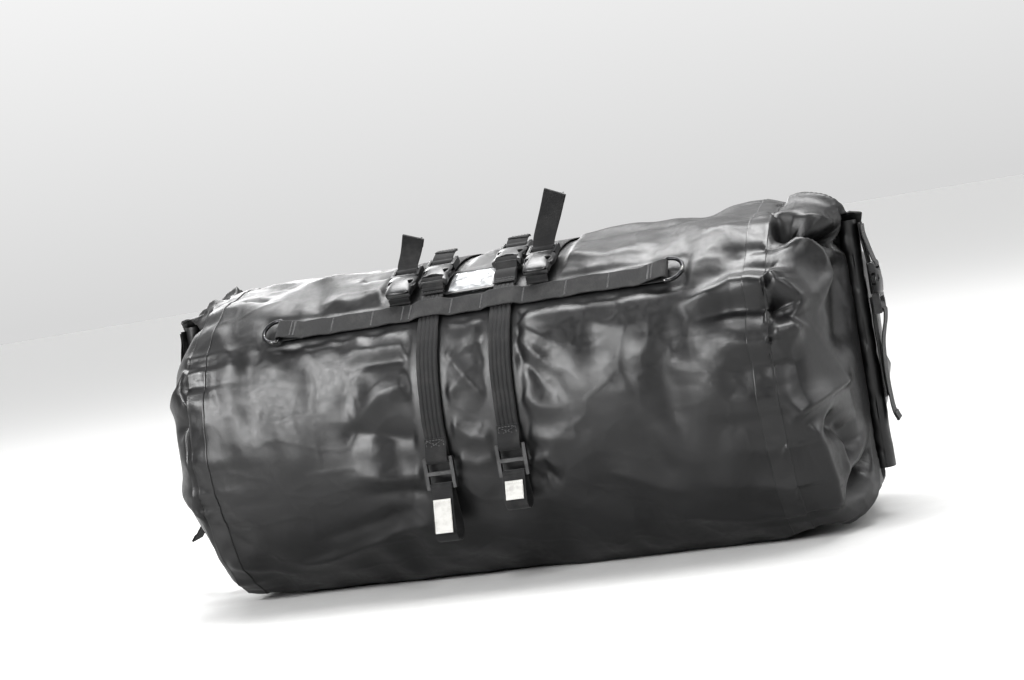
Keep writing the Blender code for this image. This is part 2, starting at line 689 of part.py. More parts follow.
# ---------------------------------------------------------------- stretch straps, front
LOCK_TOP = {0: 0.1440, 1: 0.1480}  # height of the ladder lock's upper bar
LOOP_LOW = {0: 0.0550, 1: 0.0800}
FRONT_Y = -(HALF_DEPTH + GAP + BAND_THICK / 2 + 0.0004)
for i, label in ((0, "b"), (1, "c")):
    x = BAND_X[i]
    matrix, t_clip = frames[label]
    eye_at = in_yz(matrix, BAR_FEMALE, 0.0)
    # sewn end: from the buckle's bar down on to the bag
    t_eye = angle_of_depth(-eye_at[0] * 0.985)
    hem = DAISY_T + 7.2
    down_height = GAP + 0.0021
    run = [over(hem, down_height), over(hem + 1.6, down_height + 0.0003), over(hem + (t_eye - hem) * 0.55, 0.0050), eye_at]
    upright("band_end_top_%d" % (i + 1), strap(run, 0.0042, None, (EYE_OUT, EYE_IN, 0.0, EYE_OUT, EYE_IN)), x, WEB, "webbing")
    # ribbed elastic, from the sewn end under the daisy chain to the ladder lock's sleeve
    low = 4.0
    run = sweep(hem - 0.12, low, GAP + BAND_THICK / 2, 2.5)
    bottom = LOCK_TOP[i] + 0.0215
    if run[-1][1] > bottom:
        run.append((FRONT_Y, bottom))
    upright("stretch_band_%d" % (i + 1), strap(run, BAND_THICK), x, 0.024, "elastic")
    # sewn sleeve round the ladder lock's upper bar
    bar = (FRONT_Y - 0.0026, LOCK_TOP[i])
    upright("band_end_low_%d" % (i + 1), strap([(run[-1][0] - 0.0001, bottom - 0.0003), (run[-1][0] - 0.0008, bottom - 0.008), bar], 0.0044, None,
            (EYE_OUT, EYE_IN, 0.0, EYE_OUT, EYE_IN)), x, WEB, "webbing")
    # ladder lock, hung on its upper bar
    frame = as_mesh(flat_shape("lock_frame", [[(-0.017, -0.0313), (-0.0165, -0.0320), (0.0165, -0.0320), (0.017, -0.0313), (0.017, 0.0013), (0.0165, 0.0020), (-0.0165, 0.0020), (-0.017, 0.0013)],
                    [(-0.013, -0.0130), (0.013, -0.0130), (0.013, -0.0020), (-0.013, -0.0020)],
                    [(-0.013, -0.0280), (0.013, -0.0280), (0.013, -0.0170), (-0.013, -0.0170)]], LOCK_T / 2, Matrix.Identity(4)))
    lock = combined(frame, "DIFFERENCE", [
        block("bar_cut_1", (-0.0131, -0.0040, 0.0020), (0.0131, 0.0040, 0.0060)),
        block("bar_cut_2", (-0.0131, -0.0040, -0.0060), (0.0131, 0.0040, -0.0020)),
        block("bar_cut_3", (-0.0131, -0.0350, 0.0020), (0.0131, -0.0260, 0.0060)),
        block("bar_cut_4", (-0.0131, -0.0350, -0.0060), (0.0131, -0.0260, -0.0020)),
    ])
    lock.name = "ladder_lock_%d" % (i + 1)
    lock.matrix_world = axes((1, 0, 0), (0, 0, 1), (0, -1, 0), (x, bar[0], bar[1]))
    add(lock, "buckle")
    # anchor loop: one turn of webbing from the lower bar down round the carrier's rail
    hinge = (bar[0], bar[1] - 0.0300)
    big = 0.0140 if i == 0 else 0.0115
    far = hinge[1] - LOOP_LOW[i] - big
    ring = hull_arc(hinge, (0, 1), EYE_OUT, far, big, 0.0, 2 * math.pi - 0.35, 20)
    hole = hull_arc(hinge, (0, 1), EYE_IN + 0.0001, far, big - 0.0017, 0.0, 2 * math.pi - 0.35, 20)
    upright("anchor_loop_front_%d" % (i + 1), [ring, hole], x, WEB, "webbing")
    # blank woven label on the loop's outer face
    lean = math.asin((big - EYE_OUT) / far)
    top_z = hinge[1] - 0.012 if i == 0 else hinge[1] - 0.006
    long = 0.036 if i == 0 else 0.020
    label_pts = []
    for k in range(3):
        along = (hinge[1] - top_z) + long * k / 2 * math.cos(lean)
        label_pts.append((hinge[0] - (EYE_OUT + along * math.tan(lean)) / 1.0 - 0.0010 - 0.0001 * 0, hinge[1] - along))
    upright("loop_label_%d" % (i + 1), strap(label_pts, 0.0008), x, 0.020, "label")

# ---------------------------------------------------------------- webbing over the top and down the back
for i, label in ((0, "b"), (1, "c")):
    x = BAND_X[i]
    _, t_clip = frames[label]
    run = sweep(t_clip + 3.0, 182.0, GAP + PLY / 2, 3.0)
    start_y = run[-1][0]
    top = (start_y + 0.0002, 0.118)
    big = 0.0140
    far = 0.118 - 0.050 - big
    run += [(start_y + 0.0001, 0.160), (start_y + 0.0002, 0.140), top]
    upright("rear_webbing_%d" % (i + 1), strap(run, PLY, None, (0.0036, 0.0019, far, big, big - 0.0017)), x, WEB, "webbing")
for i, label in ((0, "a"), (1, "d")):
    x = SIDE_X[i]
    matrix, t_clip = frames[label]
    run = sweep(t_clip + 3.0, 180.0 - DAISY_T - 4.9, GAP + PLY / 2, 3.0)
    upright("top_webbing_%d" % (i + 1), strap(run, PLY), x, WEB, "webbing")
    eye_at = in_yz(matrix, BAR_FEMALE, -0.0024)
    hem = DAISY_T + 5.2
    run = [over(hem, GAP + 0.0010), over(hem + 0.7, GAP + 0.0013), eye_at]
    upright("front_tab_%d" % (i + 1), strap(run, 0.0018, None, (EYE_OUT, EYE_IN, 0.0, EYE_OUT, EYE_IN)), x, WEB, "webbing")

# ---------------------------------------------------------------- closure straps on the two ends
for sign, label in ((1, "right"), (-1, "left")):
    matrix = end_frame(sign)
    bar = matrix @ Vector((0, BAR_FEMALE, 0))
    face = roll_x[sign] + sign * (ROLL_FACE + GAP + PLY / 2)
    run = [(face, 0.3180), (face, 0.3040), (face + sign * 0.0006, 0.2960), (bar.x, bar.z)]
    side_on("closure_tab_" + label, strap(run, PLY, None, (EYE_OUT, EYE_IN, 0.0, EYE_OUT, EYE_IN)), 0.0, WEB, "webbing")
    run = [(face, 0.236 - 0.012 * k) for k in range(10)]
    side_on("closure_strap_" + label, strap(run, PLY), 0.0, WEB, "webbing")

# ---------------------------------------------------------------- clear pocket on the top front
low_t, high_t = DAISY_T + 7.5, DAISY_T + 21.0
upright("clear_pocket", strap(sweep(low_t, high_t, GAP + 0.0006, 2.0), 0.0012), -0.0015, 0.0540, "pocket")
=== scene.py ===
"""The looks of the roll-closure tail bag: a stuffed coated-fabric tube with welded collars, rolled mouths,
webbing, ribbed stretch straps and moulded buckles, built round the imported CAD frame. Metres, +Z up."""

import math

import bpy
import bmesh
import numpy as np
from mathutils import Matrix, Vector


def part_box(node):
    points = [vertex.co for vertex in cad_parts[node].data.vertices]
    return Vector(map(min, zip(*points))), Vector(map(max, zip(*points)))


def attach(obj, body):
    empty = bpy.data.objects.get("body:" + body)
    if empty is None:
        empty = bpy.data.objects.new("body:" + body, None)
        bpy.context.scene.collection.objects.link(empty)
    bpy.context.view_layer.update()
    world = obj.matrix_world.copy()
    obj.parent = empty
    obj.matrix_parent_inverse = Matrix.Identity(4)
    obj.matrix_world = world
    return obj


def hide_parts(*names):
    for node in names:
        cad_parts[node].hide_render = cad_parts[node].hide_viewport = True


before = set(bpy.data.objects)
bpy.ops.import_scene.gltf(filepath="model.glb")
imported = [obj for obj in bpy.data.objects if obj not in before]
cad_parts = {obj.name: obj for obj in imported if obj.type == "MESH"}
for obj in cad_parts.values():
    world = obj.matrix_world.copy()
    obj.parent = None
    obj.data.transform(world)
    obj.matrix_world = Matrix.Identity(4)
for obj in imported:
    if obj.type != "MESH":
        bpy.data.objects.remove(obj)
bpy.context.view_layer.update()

SCENE = bpy.context.scene

# ------------------------------------------------------------------ sizes shared with the CAD
TUBE_RIGHT, TUBE_LEFT = 0.327, 0.334
HALF_DEPTH, CENTRE_Z, RISE, FALL, SQUARENESS = 0.190, 0.178, 0.172, 0.200, 2.2
END_LIFT, FLAT_TO = 0.010, 0.270
COLLAR_LONG, DOME, COLLAR_TIP = 0.0515, 0.0640, 0.010
ROLL_LOW, ROLL_HIGH = 0.052, 0.322
ROLL_PLY, ROLL_PITCH, ROLL_START, ROLL_TURNS, ROLL_SQUASH = 0.0024, 0.0034, 0.0087, 2.0, 0.80
ROLL_FACE = (ROLL_START + ROLL_PITCH * ROLL_TURNS + ROLL_PLY / 2) * ROLL_SQUASH
ROLL_X = {s: s * (e + 0.0002 + COLLAR_LONG + 0.0004 + ROLL_FACE) for s, e in ((1, TUBE_RIGHT), (-1, TUBE_LEFT))}
WEB, PLY, GAP, BAND_THICK = 0.025, 0.0016, 0.0003, 0.0036
BAND_X, SIDE_X = (-0.043, 0.040), (-0.082, 0.078)
DAISY_Z, DAISY_END, DAISY_PLY = 0.300, 0.222, 0.0018
RING_WIRE, RING_HALF, RING_DEPTH = 0.0022, 0.0157, 0.0195
BAR_FEMALE, BAR_MALE, CLIP_HEIGHT = 0.0315, -0.014, 0.0086
LOCK_TOP, LOOP_LOW = {0: 0.1440, 1: 0.1480}, {0: 0.0550, 1: 0.0800}
FRONT_Y = -(HALF_DEPTH + GAP + BAND_THICK / 2 + 0.0004)


# ------------------------------------------------------------------ the tube's section
def power(v):
    return np.sign(v) * np.abs(v) ** (2.0 / SQUARENESS)


def section(t, half=HALF_DEPTH, rise=RISE, fall=FALL, floor=0.0, centre=CENTRE_Z):
    """t in radians: 0 front, pi/2 ridge, pi back. Gives y and z."""
    c, s = np.cos(t), np.sin(t)
    return -half * power(c), np.maximum(centre + np.where(s >= 0, rise, fall) * power(s), floor)


_t = np.radians(np.linspace(-90, 270, 14401))
_y, _z = section(_t)
_q = np.concatenate([[0.0], np.cumsum(np.hypot(np.diff(_y), np.diff(_z)))])
_q -= np.interp(0.0, _t, _q)
Q_LOW, Q_HIGH = float(_q[0]), float(_q[-1])


def angle_at(q):
    """The section angle at an arc length from the front line, upwards."""
    return np.interp(q, _q, _t)


def arc_at(t):
    return np.interp(t, _t, _q)


def point_normal(t):
    """The section's point and outward unit normal, as (y, z) pairs."""
    h = math.radians(0.5)
    y, z = section(t)
    y0, z0 = section(t - h)
    y1, z1 = section(t + h)
    long = np.hypot(y1 - y0, z1 - z0) + 1e-12
    return y, z, -(z1 - z0) / long, (y1 - y0) / long


def over(t, height):
    y, z, ny, nz = point_normal(t)
    return float(y + ny * height), float(z + nz * height)


def angle_of(test, value):
    low, high = 0.0, math.pi / 2
    for _ in range(60):
        mid = (low + high) / 2
        if test(mid) < value:
            low = mid
        else:
            high = mid
    return (low + high) / 2


def angle_of_height(z):
    return angle_of(lambda t: float(section(t)[1]), z)


def angle_of_depth(depth):
    return angle_of(lambda t: float(section(t)[0]), -depth)


DAISY_T = angle_of_height(DAISY_Z)
Q_DAISY = float(arc_at(DAISY_T))
Q_RIDGE = float(arc_at(math.pi / 2))
Q_BACK = float(arc_at(math.pi))


# ------------------------------------------------------------------ smooth noise on arrays
def hashed(i, j, seed):
    n = (i.astype(np.int64) * 374761393 + j.astype(np.int64) * 668265263 + seed * 982451653) & 0xFFFFFFFF
    n = ((n ^ (n >> 13)) * 1274126177) & 0xFFFFFFFF
    return ((n ^ (n >> 16)) & 0xFFFF) / 65535.0


def noise(x, y, seed=0):
    """Value noise from 0 to 1 with one cell to a unit."""
    i, j = np.floor(x), np.floor(y)
    u, v = x - i, y - j
    u, v = u * u * u * (u * (u * 6 - 15) + 10), v * v * v * (v * (v * 6 - 15) + 10)
    i, j = i.astype(np.int64), j.astype(np.int64)
    a, b = hashed(i, j, seed), hashed(i + 1, j, seed)
    c, d = hashed(i, j + 1, seed), hashed(i + 1, j + 1, seed)
    return (a * (1 - u) + b * u) * (1 - v) + (c * (1 - u) + d * u) * v


def layered(x, y, seed=0, octaves=3):
    total, size, weight = 0.0, 1.0, 0.0
    for k in range(octaves):
        total = total + noise(x * 2 ** k + 17.3 * k, y * 2 ** k - 9.1 * k, seed + k) * size
        weight += size
        size *= 0.5
    return total / weight


def ridged(x, y, seed=0):
    """Narrow crests from 0 to 1 where the noise crosses its middle."""
    return 1.0 - np.clip(np.abs(layered(x, y, seed, 2) - 0.5) * 7.0, 0, 1)


def smooth(v, low, high):
    t = np.clip((v - low) / (high - low), 0, 1)
    return t * t * (3 - 2 * t)


def fold(a, b, line, height, width, crisp=0.0, ends=(0.25, 0.25), lean=0.0):
    """A crease along a line of (a, b) points on a surface: height outwards (negative is a valley), falling off over
    width on both sides. crisp 0 is a round swell and 1 a sharp crest. ends are the shares over which it fades.
    lean above 0 makes the falloff longer on the line's left side."""
    line = np.array(line, float)
    steps = np.hypot(*np.diff(line, axis=0).T)
    run = np.concatenate([[0], np.cumsum(steps)])
    reach = width * (3.2 + 2.0 * abs(lean))
    near = (a > line[:, 0].min() - reach) & (a < line[:, 0].max() + reach) & (b > line[:, 1].min() - reach) & (b < line[:, 1].max() + reach)
    out = np.zeros_like(a)
    if not near.any():
        return out
    pa, pb = a[near], b[near]
    best = np.full(pa.shape, 1e9)
    along = np.zeros(pa.shape)
    side = np.zeros(pa.shape)
    for k in range(len(line) - 1):
        dx, dy = line[k + 1] - line[k]
        t = np.clip(((pa - line[k, 0]) * dx + (pb - line[k, 1]) * dy) / (steps[k] ** 2 + 1e-12), 0, 1)
        ex, ey = pa - (line[k, 0] + dx * t), pb - (line[k, 1] + dy * t)
        d = np.hypot(ex, ey)
        nearer = d < best
        best = np.where(nearer, d, best)
        along = np.where(nearer, (run[k] + steps[k] * t) / run[-1], along)
        side = np.where(nearer, dx * ey - dy * ex, side)
    w = width * (1.0 + lean * np.where(side > 0, 1.0, -0.5))
    soft = np.exp(-(best / w) ** 2)
    edge = 0.0012
    sharp = np.exp(-(np.sqrt(best ** 2 + edge ** 2) - edge) / (w * 0.75))
    fade = smooth(along, -1e-6, max(ends[0], 1e-5)) * (1 - smooth(along, 1 - max(ends[1], 1e-5), 1 + 1e-6))
    out[near] = height * (soft * (1 - crisp) + sharp * crisp) * fade
    return out


# ------------------------------------------------------------------ mesh helpers
def make(name, points, faces, uvs=None, smooth_faces=True):
    mesh = bpy.data.meshes.new(name)
    mesh.from_pydata([tuple(map(float, p)) for p in points], [], [tuple(map(int, f)) for f in faces])
    if uvs is not None:
        layer = mesh.uv_layers.new(name="UVMap")
        loops = np.zeros(len(mesh.loops), np.int32)
        mesh.loops.foreach_get("vertex_index", loops)
        uvs = np.asarray(uvs, np.float32)
        data = uvs if len(uvs) == len(loops) else uvs[loops]
        layer.data.foreach_set("uv", data.reshape(-1))
    mesh.update()
    obj = bpy.data.objects.new(name, mesh)
    SCENE.collection.objects.link(obj)
    if smooth_faces:
        mesh.shade_smooth()
    return obj


def outward(obj):
    bm = bmesh.new()
    bm.from_mesh(obj.data)
    bmesh.ops.recalc_face_normals(bm, faces=bm.faces)
    bm.to_mesh(obj.data)
    bm.free()
    return obj


def grid_faces(rows, columns, wrap):
    """Quads between rows of points; wrap closes each row on itself."""
    i, j = np.meshgrid(np.arange(rows - 1), np.arange(columns if wrap else columns - 1), indexing="ij")
    k = (j + 1) % columns
    return np.stack([i * columns + j, i * columns + k, (i + 1) * columns + k, (i + 1) * columns + j], -1).reshape(-1, 4)


def dress(obj, look, body, slot, *nodes):
    """The material, the body it rides on, the slot (not used) and the CAD nodes it stands for."""
    obj.data.materials.clear()
    obj.data.materials.append(look)
    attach(obj, body)
    if nodes:
        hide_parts(*nodes)
    return obj


# ------------------------------------------------------------------ materials
class Look:
    """A procedural material on one Principled shader."""

    def __init__(self, name, colour, rough, metallic=0.0, **sockets):
        self.mat = bpy.data.materials.new(name)
        self.mat.use_nodes = True
        self.tree = self.mat.node_tree
        self.out = self.tree.nodes["Principled BSDF"]
        self.out.inputs["Base Color"].default_value = (*colour, 1)
        self.out.inputs["Roughness"].default_value = rough
        self.out.inputs["Metallic"].default_value = metallic
        for key, value in sockets.items():
            self.out.inputs[key.replace("_", " ")].default_value = value
        self.coord = self.node("ShaderNodeTexCoord").outputs["Object"]
        self.uv = self.node("ShaderNodeUVMap").outputs["UV"]
        self.tree.nodes[-1].uv_map = "UVMap"

    def node(self, kind, **props):
        made = self.tree.nodes.new(kind)
        for key, value in props.items():
            setattr(made, key, value)
        return made

    def put(self, socket, value):
        if isinstance(value, bpy.types.NodeSocket):
            self.tree.links.new(value, socket)
        else:
            socket.default_value = value

    def math(self, op, a, b=0.5, c=0.5, clamp=False):
        n = self.node("ShaderNodeMath", operation=op, use_clamp=clamp)
        for socket, value in zip(n.inputs, (a, b, c)):
            self.put(socket, value)
        return n.outputs[0]

    def scaled(self, vector, x, y=None, z=None):
        n = self.node("ShaderNodeMapping")
        self.put(n.inputs["Vector"], vector)
        n.inputs["Scale"].default_value = (x, x if y is None else y, x if z is None else z)
        return n.outputs[0]

    def noise(self, vector, scale, detail=3.0, rough=0.55, warp=0.0):
        n = self.node("ShaderNodeTexNoise")
        self.put(n.inputs["Vector"], vector)
        n.inputs["Scale"].default_value = scale
        n.inputs["Detail"].default_value = detail
        n.inputs["Roughness"].default_value = rough
        n.inputs["Distortion"].default_value = warp
        return n.outputs["Fac"]

    def band(self, value, low, high, a=0.0, b=1.0):
        n = self.node("ShaderNodeMapRange", interpolation_type="SMOOTHSTEP")
        self.put(n.inputs["Value"], value)
        for key, v in (("From Min", low), ("From Max", high), ("To Min", a), ("To Max", b)):
            self.put(n.inputs[key], v)
        return n.outputs["Result"]

    def mix(self, share, a, b):
        n = self.node("ShaderNodeMix", data_type="RGBA")
        self.put(n.inputs[0], share)
        self.put(n.inputs[6], a if isinstance(a, bpy.types.NodeSocket) else (*a, 1))
        self.put(n.inputs[7], b if isinstance(b, bpy.types.NodeSocket) else (*b, 1))
        return n.outputs[2]

    def split(self, vector):
        n = self.node("ShaderNodeSeparateXYZ")
        self.put(n.inputs[0], vector)
        return n.outputs

    def bump(self, height, distance, below=None):
        n = self.node("ShaderNodeBump")
        n.inputs["Strength"].default_value = 1.0
        n.inputs["Distance"].default_value = distance
        self.put(n.inputs["Height"], height)
        if below is not None:
            self.put(n.inputs["Normal"], below)
        return n.outputs[0]

    def finish(self, colour=None, rough=None, normal=None):
        for key, value in (("Base Color", colour), ("Roughness", rough), ("Normal", normal)):
            if value is not None:
                self.put(self.out.inputs[key], value)
        return self.mat


def coated_fabric(name, dark, pale, rough, scrim=1.0, grain=1.0):
    """PVC-coated tarpaulin: a smooth skin over a woven scrim that telegraphs through, with scuffs and dust."""
    k = Look(name, dark, rough, Specular_IOR_Level=0.5)
    parts = k.split(k.uv)
    pitch = 2 * math.pi / 0.00115
    warp = k.math("SINE", k.math("MULTIPLY", parts[0], pitch))
    weft = k.math("SINE", k.math("MULTIPLY", parts[1], pitch))
    weave = k.math("MULTIPLY", warp, weft)
    broad = k.noise(k.coord, 7.0, 3, 0.5)
    fine = k.noise(k.coord, 900.0, 2, 0.6)
    orange = k.noise(k.coord, 150.0, 3, 0.55)
    crumple = k.noise(k.coord, 38.0, 3, 0.55, 0.6)
    streak = k.noise(k.scaled(k.coord, 26.0, 26.0, 90.0), 1.0, 5, 0.6, 1.2)
    scuff = k.math("MULTIPLY", k.band(streak, 0.60, 0.72), k.band(broad, 0.45, 0.62))
    dust = k.band(k.noise(k.coord, 14.0, 6, 0.65), 0.50, 0.80)
    base = k.mix(k.band(broad, 0.3, 0.7), dark, tuple(c * 1.35 for c in dark))
    base = k.mix(k.math("MULTIPLY", scuff, 0.55), base, pale)
    base = k.mix(k.math("MULTIPLY", dust, 0.14), base, pale)
    r = k.math("ADD", k.band(orange, 0.3, 0.7, rough - 0.035, rough + 0.045), k.math("MULTIPLY", scuff, 0.16))
    r = k.math("ADD", r, k.band(broad, 0.35, 0.65, -0.02, 0.05))
    n = k.bump(crumple, 0.00030)
    n = k.bump(orange, 0.00009 * grain, n)
    n = k.bump(fine, 0.000035 * grain, n)
    n = k.bump(weave, 0.000022 * scrim, n)
    return k.finish(base, r, n)


def woven(name, dark, pale, rough=0.78, pitch_u=0.0016, pitch_v=0.0021, depth=0.00011, twill=True):
    """Nylon webbing: rows of yarn across the strap that step like a herringbone, with fuzz, dust and sheen."""
    k = Look(name, dark, rough, Sheen_Weight=0.10, Sheen_Roughness=0.45, Specular_IOR_Level=0.28)
    parts = k.split(k.uv)
    u = k.math("MULTIPLY", parts[0], 2 * math.pi / pitch_u)
    v = k.math("MULTIPLY", parts[1], 2 * math.pi / pitch_v)
    zig = k.math("ABSOLUTE", k.math("SINE", k.math("MULTIPLY", v, 0.5)))
    lean = k.math("MULTIPLY", zig, 2.6 if twill else 0.4)
    yarn = k.math("SINE", k.math("ADD", u, lean))
    cord = k.math("ABSOLUTE", k.math("SINE", v))
    height = k.math("MULTIPLY_ADD", yarn, 0.5, k.math("MULTIPLY", cord, 0.7))
    fuzz = k.noise(k.coord, 1500.0, 2, 0.7)
    patch = k.noise(k.coord, 45.0, 4, 0.6)
    # painted shade: the valleys between the yarns are coloured darker, down to 0.45 of the dark tone, following the
    # weave height
    shade = k.band(height, -0.4, 1.1)
    base = k.mix(shade, tuple(c * 0.45 for c in dark), dark)
    base = k.mix(k.band(patch, 0.45, 0.75, 0.0, 0.55), base, pale)
    base = k.mix(k.band(fuzz, 0.55, 0.75, 0.0, 0.25), base, pale)
    r = k.band(fuzz, 0.3, 0.7, rough - 0.07, rough + 0.07)
    n = k.bump(height, depth)
    n = k.bump(fuzz, 0.00006, n)
    return k.finish(base, r, n)


def moulded(name, dark, pale, rough):
    """Injection-moulded acetal: a fine spark texture, soft sheen, scratches and rubbed lighter patches."""
    k = Look(name, dark, rough, Specular_IOR_Level=0.55)
    grain = k.noise(k.coord, 2600.0, 2, 0.6)
    wash = k.noise(k.coord, 70.0, 4, 0.6)
    scratch = k.noise(k.scaled(k.coord, 900.0, 80.0, 300.0), 1.0, 4, 0.6, 0.8)
    marks = k.math("MULTIPLY", k.band(scratch, 0.62, 0.70), k.band(wash, 0.42, 0.6))
    edge = k.node("ShaderNodeNewGeometry").outputs["Pointiness"]
    worn = k.math("MULTIPLY", k.band(edge, 0.52, 0.60), k.band(wash, 0.35, 0.6))
    base = k.mix(k.band(wash, 0.3, 0.7), dark, tuple(c * 1.3 for c in dark))
    base = k.mix(k.math("MULTIPLY", marks, 0.5), base, pale)
    base = k.mix(k.math("MULTIPLY", worn, 0.6), base, pale)
    r = k.math("ADD", k.band(grain, 0.3, 0.7, rough - 0.04, rough + 0.06), k.math("MULTIPLY", marks, 0.2))
    n = k.bump(wash, 0.00018)
    n = k.bump(grain, 0.00003, n)
    n = k.bump(marks, -0.00004, n)
    return k.finish(base, r, n)


def coated_wire(name):
    """Black electro-coated steel, rubbed to metal in places."""
    k = Look(name, (0.05, 0.05, 0.052), 0.36, 0.9)
    wash = k.noise(k.coord, 160.0, 4, 0.6)
    pit = k.noise(k.coord, 1800.0, 2, 0.6)
    worn = k.band(wash, 0.56, 0.66)
    base = k.mix(worn, (0.036, 0.036, 0.038), (0.15, 0.15, 0.145))
    r = k.math("ADD", k.band(pit, 0.3, 0.7, 0.24, 0.40), k.math("MULTIPLY", worn, -0.04))
    return k.finish(base, r, k.bump(pit, 0.00004, k.bump(wash, 0.00012)))


def clear_film(name):
    """Clear vinyl with fine scratches and dents; its pale grey, mottled base colour is a painted reflection of the
    bright surroundings.
    """
    k = Look(name, (0.62, 0.63, 0.64), 0.14, Transmission_Weight=0.55, IOR=1.45, Specular_IOR_Level=0.9)
    wash = k.noise(k.coord, 90.0, 4, 0.6, 0.7)
    scratch = k.noise(k.scaled(k.coord, 500.0, 60.0, 60.0), 1.0, 4, 0.65, 1.0)
    # painted reflection: a pale grey base, mottled between 0.40 and 0.72, stands in for the film's reflection
    base = k.mix(k.band(wash, 0.35, 0.7), (0.40, 0.41, 0.42), (0.72, 0.73, 0.74))
    r = k.math("ADD", k.band(wash, 0.3, 0.7, 0.07, 0.20), k.band(scratch, 0.6, 0.72, 0.0, 0.25))
    return k.finish(base, r, k.bump(wash, 0.0009, k.bump(scratch, 0.00005)))


def woven_label(name):
    """A blank damask label: fine satin rows with a soiled edge."""
    k = Look(name, (0.66, 0.65, 0.63), 0.72, Sheen_Weight=0.3)
    parts = k.split(k.uv)
    rows = k.math("SINE", k.math("MULTIPLY", parts[0], 2 * math.pi / 0.0006))
    fine = k.math("SINE", k.math("MULTIPLY", parts[1], 2 * math.pi / 0.0004))
    weave = k.math("MULTIPLY", rows, fine)
    soil = k.noise(k.coord, 120.0, 5, 0.65)
    base = k.mix(k.band(soil, 0.45, 0.75, 0.0, 0.55), (0.40, 0.395, 0.38), (0.22, 0.215, 0.20))
    base = k.mix(k.band(weave, -0.2, 0.8, 0.0, 0.18), base, (0.30, 0.30, 0.29))
    r = k.band(soil, 0.3, 0.7, 0.62, 0.82)
    return k.finish(base, r, k.bump(weave, 0.00004, k.bump(soil, 0.0002)))


def yarn(name, dark, pale):
    k = Look(name, dark, 0.62, Sheen_Weight=0.4)
    parts = k.split(k.coord)
    twist = k.math("SINE", k.math("MULTIPLY", k.math("ADD", parts[0], parts[2]), 2 * math.pi / 0.0007))
    soil = k.noise(k.coord, 300.0, 3, 0.6)
    # painted shade and highlight: the twist grooves are coloured dark and the twist crowns pale, following the twist
    # height
    base = k.mix(k.band(twist, -0.6, 0.8), dark, pale)
    return k.finish(base, k.band(soil, 0.3, 0.7, 0.5, 0.72), k.bump(twist, 0.00005))


SHELL = coated_fabric("coated_shell", (0.0042, 0.0042, 0.0045), (0.020, 0.0195, 0.019), 0.375)
COLLAR = coated_fabric("coated_collar", (0.0052, 0.0052, 0.0055), (0.024, 0.0235, 0.023), 0.35, 1.6, 1.2)
SEAM = coated_fabric("seam_tape", (0.0070, 0.0070, 0.0073), (0.030, 0.0295, 0.029), 0.37, 0.5, 1.4)
WEBBING = woven("webbing", (0.0125, 0.0125, 0.0130), (0.032, 0.0315, 0.031))
ELASTIC = woven("ribbed_elastic", (0.0085, 0.0085, 0.0090), (0.024, 0.0235, 0.023), 0.62, 0.0010, 0.0012, 0.00006, False)
BUCKLE = moulded("moulded_acetal", (0.0100, 0.0100, 0.0105), (0.050, 0.050, 0.050), 0.32)
WIRE = coated_wire("coated_wire")
FILM = clear_film("clear_vinyl")
LABEL = woven_label("blank_label")
THREAD = yarn("bonded_thread", (0.014, 0.014, 0.015), (0.034, 0.034, 0.035))
THREAD_PALE = yarn("label_thread", (0.40, 0.40, 0.39), (0.62, 0.62, 0.60))
BOARD = moulded("stiffener_board", (0.06, 0.06, 0.062), (0.10, 0.10, 0.10), 0.5)

# ------------------------------------------------------------------ stage
target = Vector((-0.00592, 0.0, 0.24854))
AZ, EL, TILT = math.radians(19.0), math.radians(2.5), math.radians(9.5)
back = Vector((math.sin(AZ) * math.cos(EL), -math.cos(AZ) * math.cos(EL), math.sin(EL)))
across = Vector((math.cos(AZ), math.sin(AZ), 0))
above = back.cross(across)
right = math.cos(TILT) * across - math.sin(TILT) * above
up = math.sin(TILT) * across + math.cos(TILT) * above
lens = bpy.data.cameras.new("camera")
lens.sensor_width = 36.0
lens.lens = 2100.0 * 36.0 / 1024.0
lens.clip_start, lens.clip_end = 0.02, 200.0
camera = bpy.data.objects.new("camera", lens)
SCENE.collection.objects.link(camera)
place = Matrix((right, up, back)).transposed().to_4x4()
place.translation = target + back * 2.4
camera.matrix_world = place
SCENE.camera = camera
SCENE.view_settings.view_transform = "Standard"
SCENE.view_settings.look = "Medium High Contrast"

floor_look = Look("pale_floor", (0.64, 0.64, 0.635), 0.62)
spot = floor_look.split(floor_look.coord)
reach = floor_look.math("SQRT", floor_look.math("ADD", floor_look.math("MULTIPLY", spot[0], spot[0]), floor_look.math("MULTIPLY", spot[1], spot[1])))
# painted light: the floor's colour rises from about 0.45 near the bag to 0.97 beyond 4.5 m, painted brighter far off
# where the lamps' light falls away, so it meets the bright world at the horizon
floor_look.finish(
    floor_look.mix(floor_look.band(reach, 1.2, 4.5), floor_look.mix(floor_look.noise(floor_look.coord, 1.3, 4, 0.6), (0.47, 0.47, 0.467), (0.44, 0.44, 0.437)), (0.97, 0.97, 0.965)),
    floor_look.band(floor_look.noise(floor_look.coord, 30.0, 4, 0.6), 0.3, 0.7, 0.55, 0.7),
    floor_look.bump(floor_look.noise(floor_look.coord, 120.0, 3, 0.6), 0.0003),
)
radii = [0.0, 0.5, 1.0, 2.0, 4.0, 8.0, 20.0, 60.0]
ring = 72
pts = [(0, 0, -0.0004)]
for rad in radii[1:]:
    pts += [(rad * math.cos(2 * math.pi * i / ring), rad * math.sin(2 * math.pi * i / ring), -0.0004) for i in range(ring)]
tris = [(0, 1 + i, 1 + (i + 1) % ring) for i in range(ring)]
for r0 in range(len(radii) - 2):
    b0, b1 = 1 + r0 * ring, 1 + (r0 + 1) * ring
    tris += [(b0 + i, b1 + i, b1 + (i + 1) % ring, b0 + (i + 1) % ring) for i in range(ring)]
floor = make("floor", pts, tris)
floor.data.materials.append(floor_look.mat)

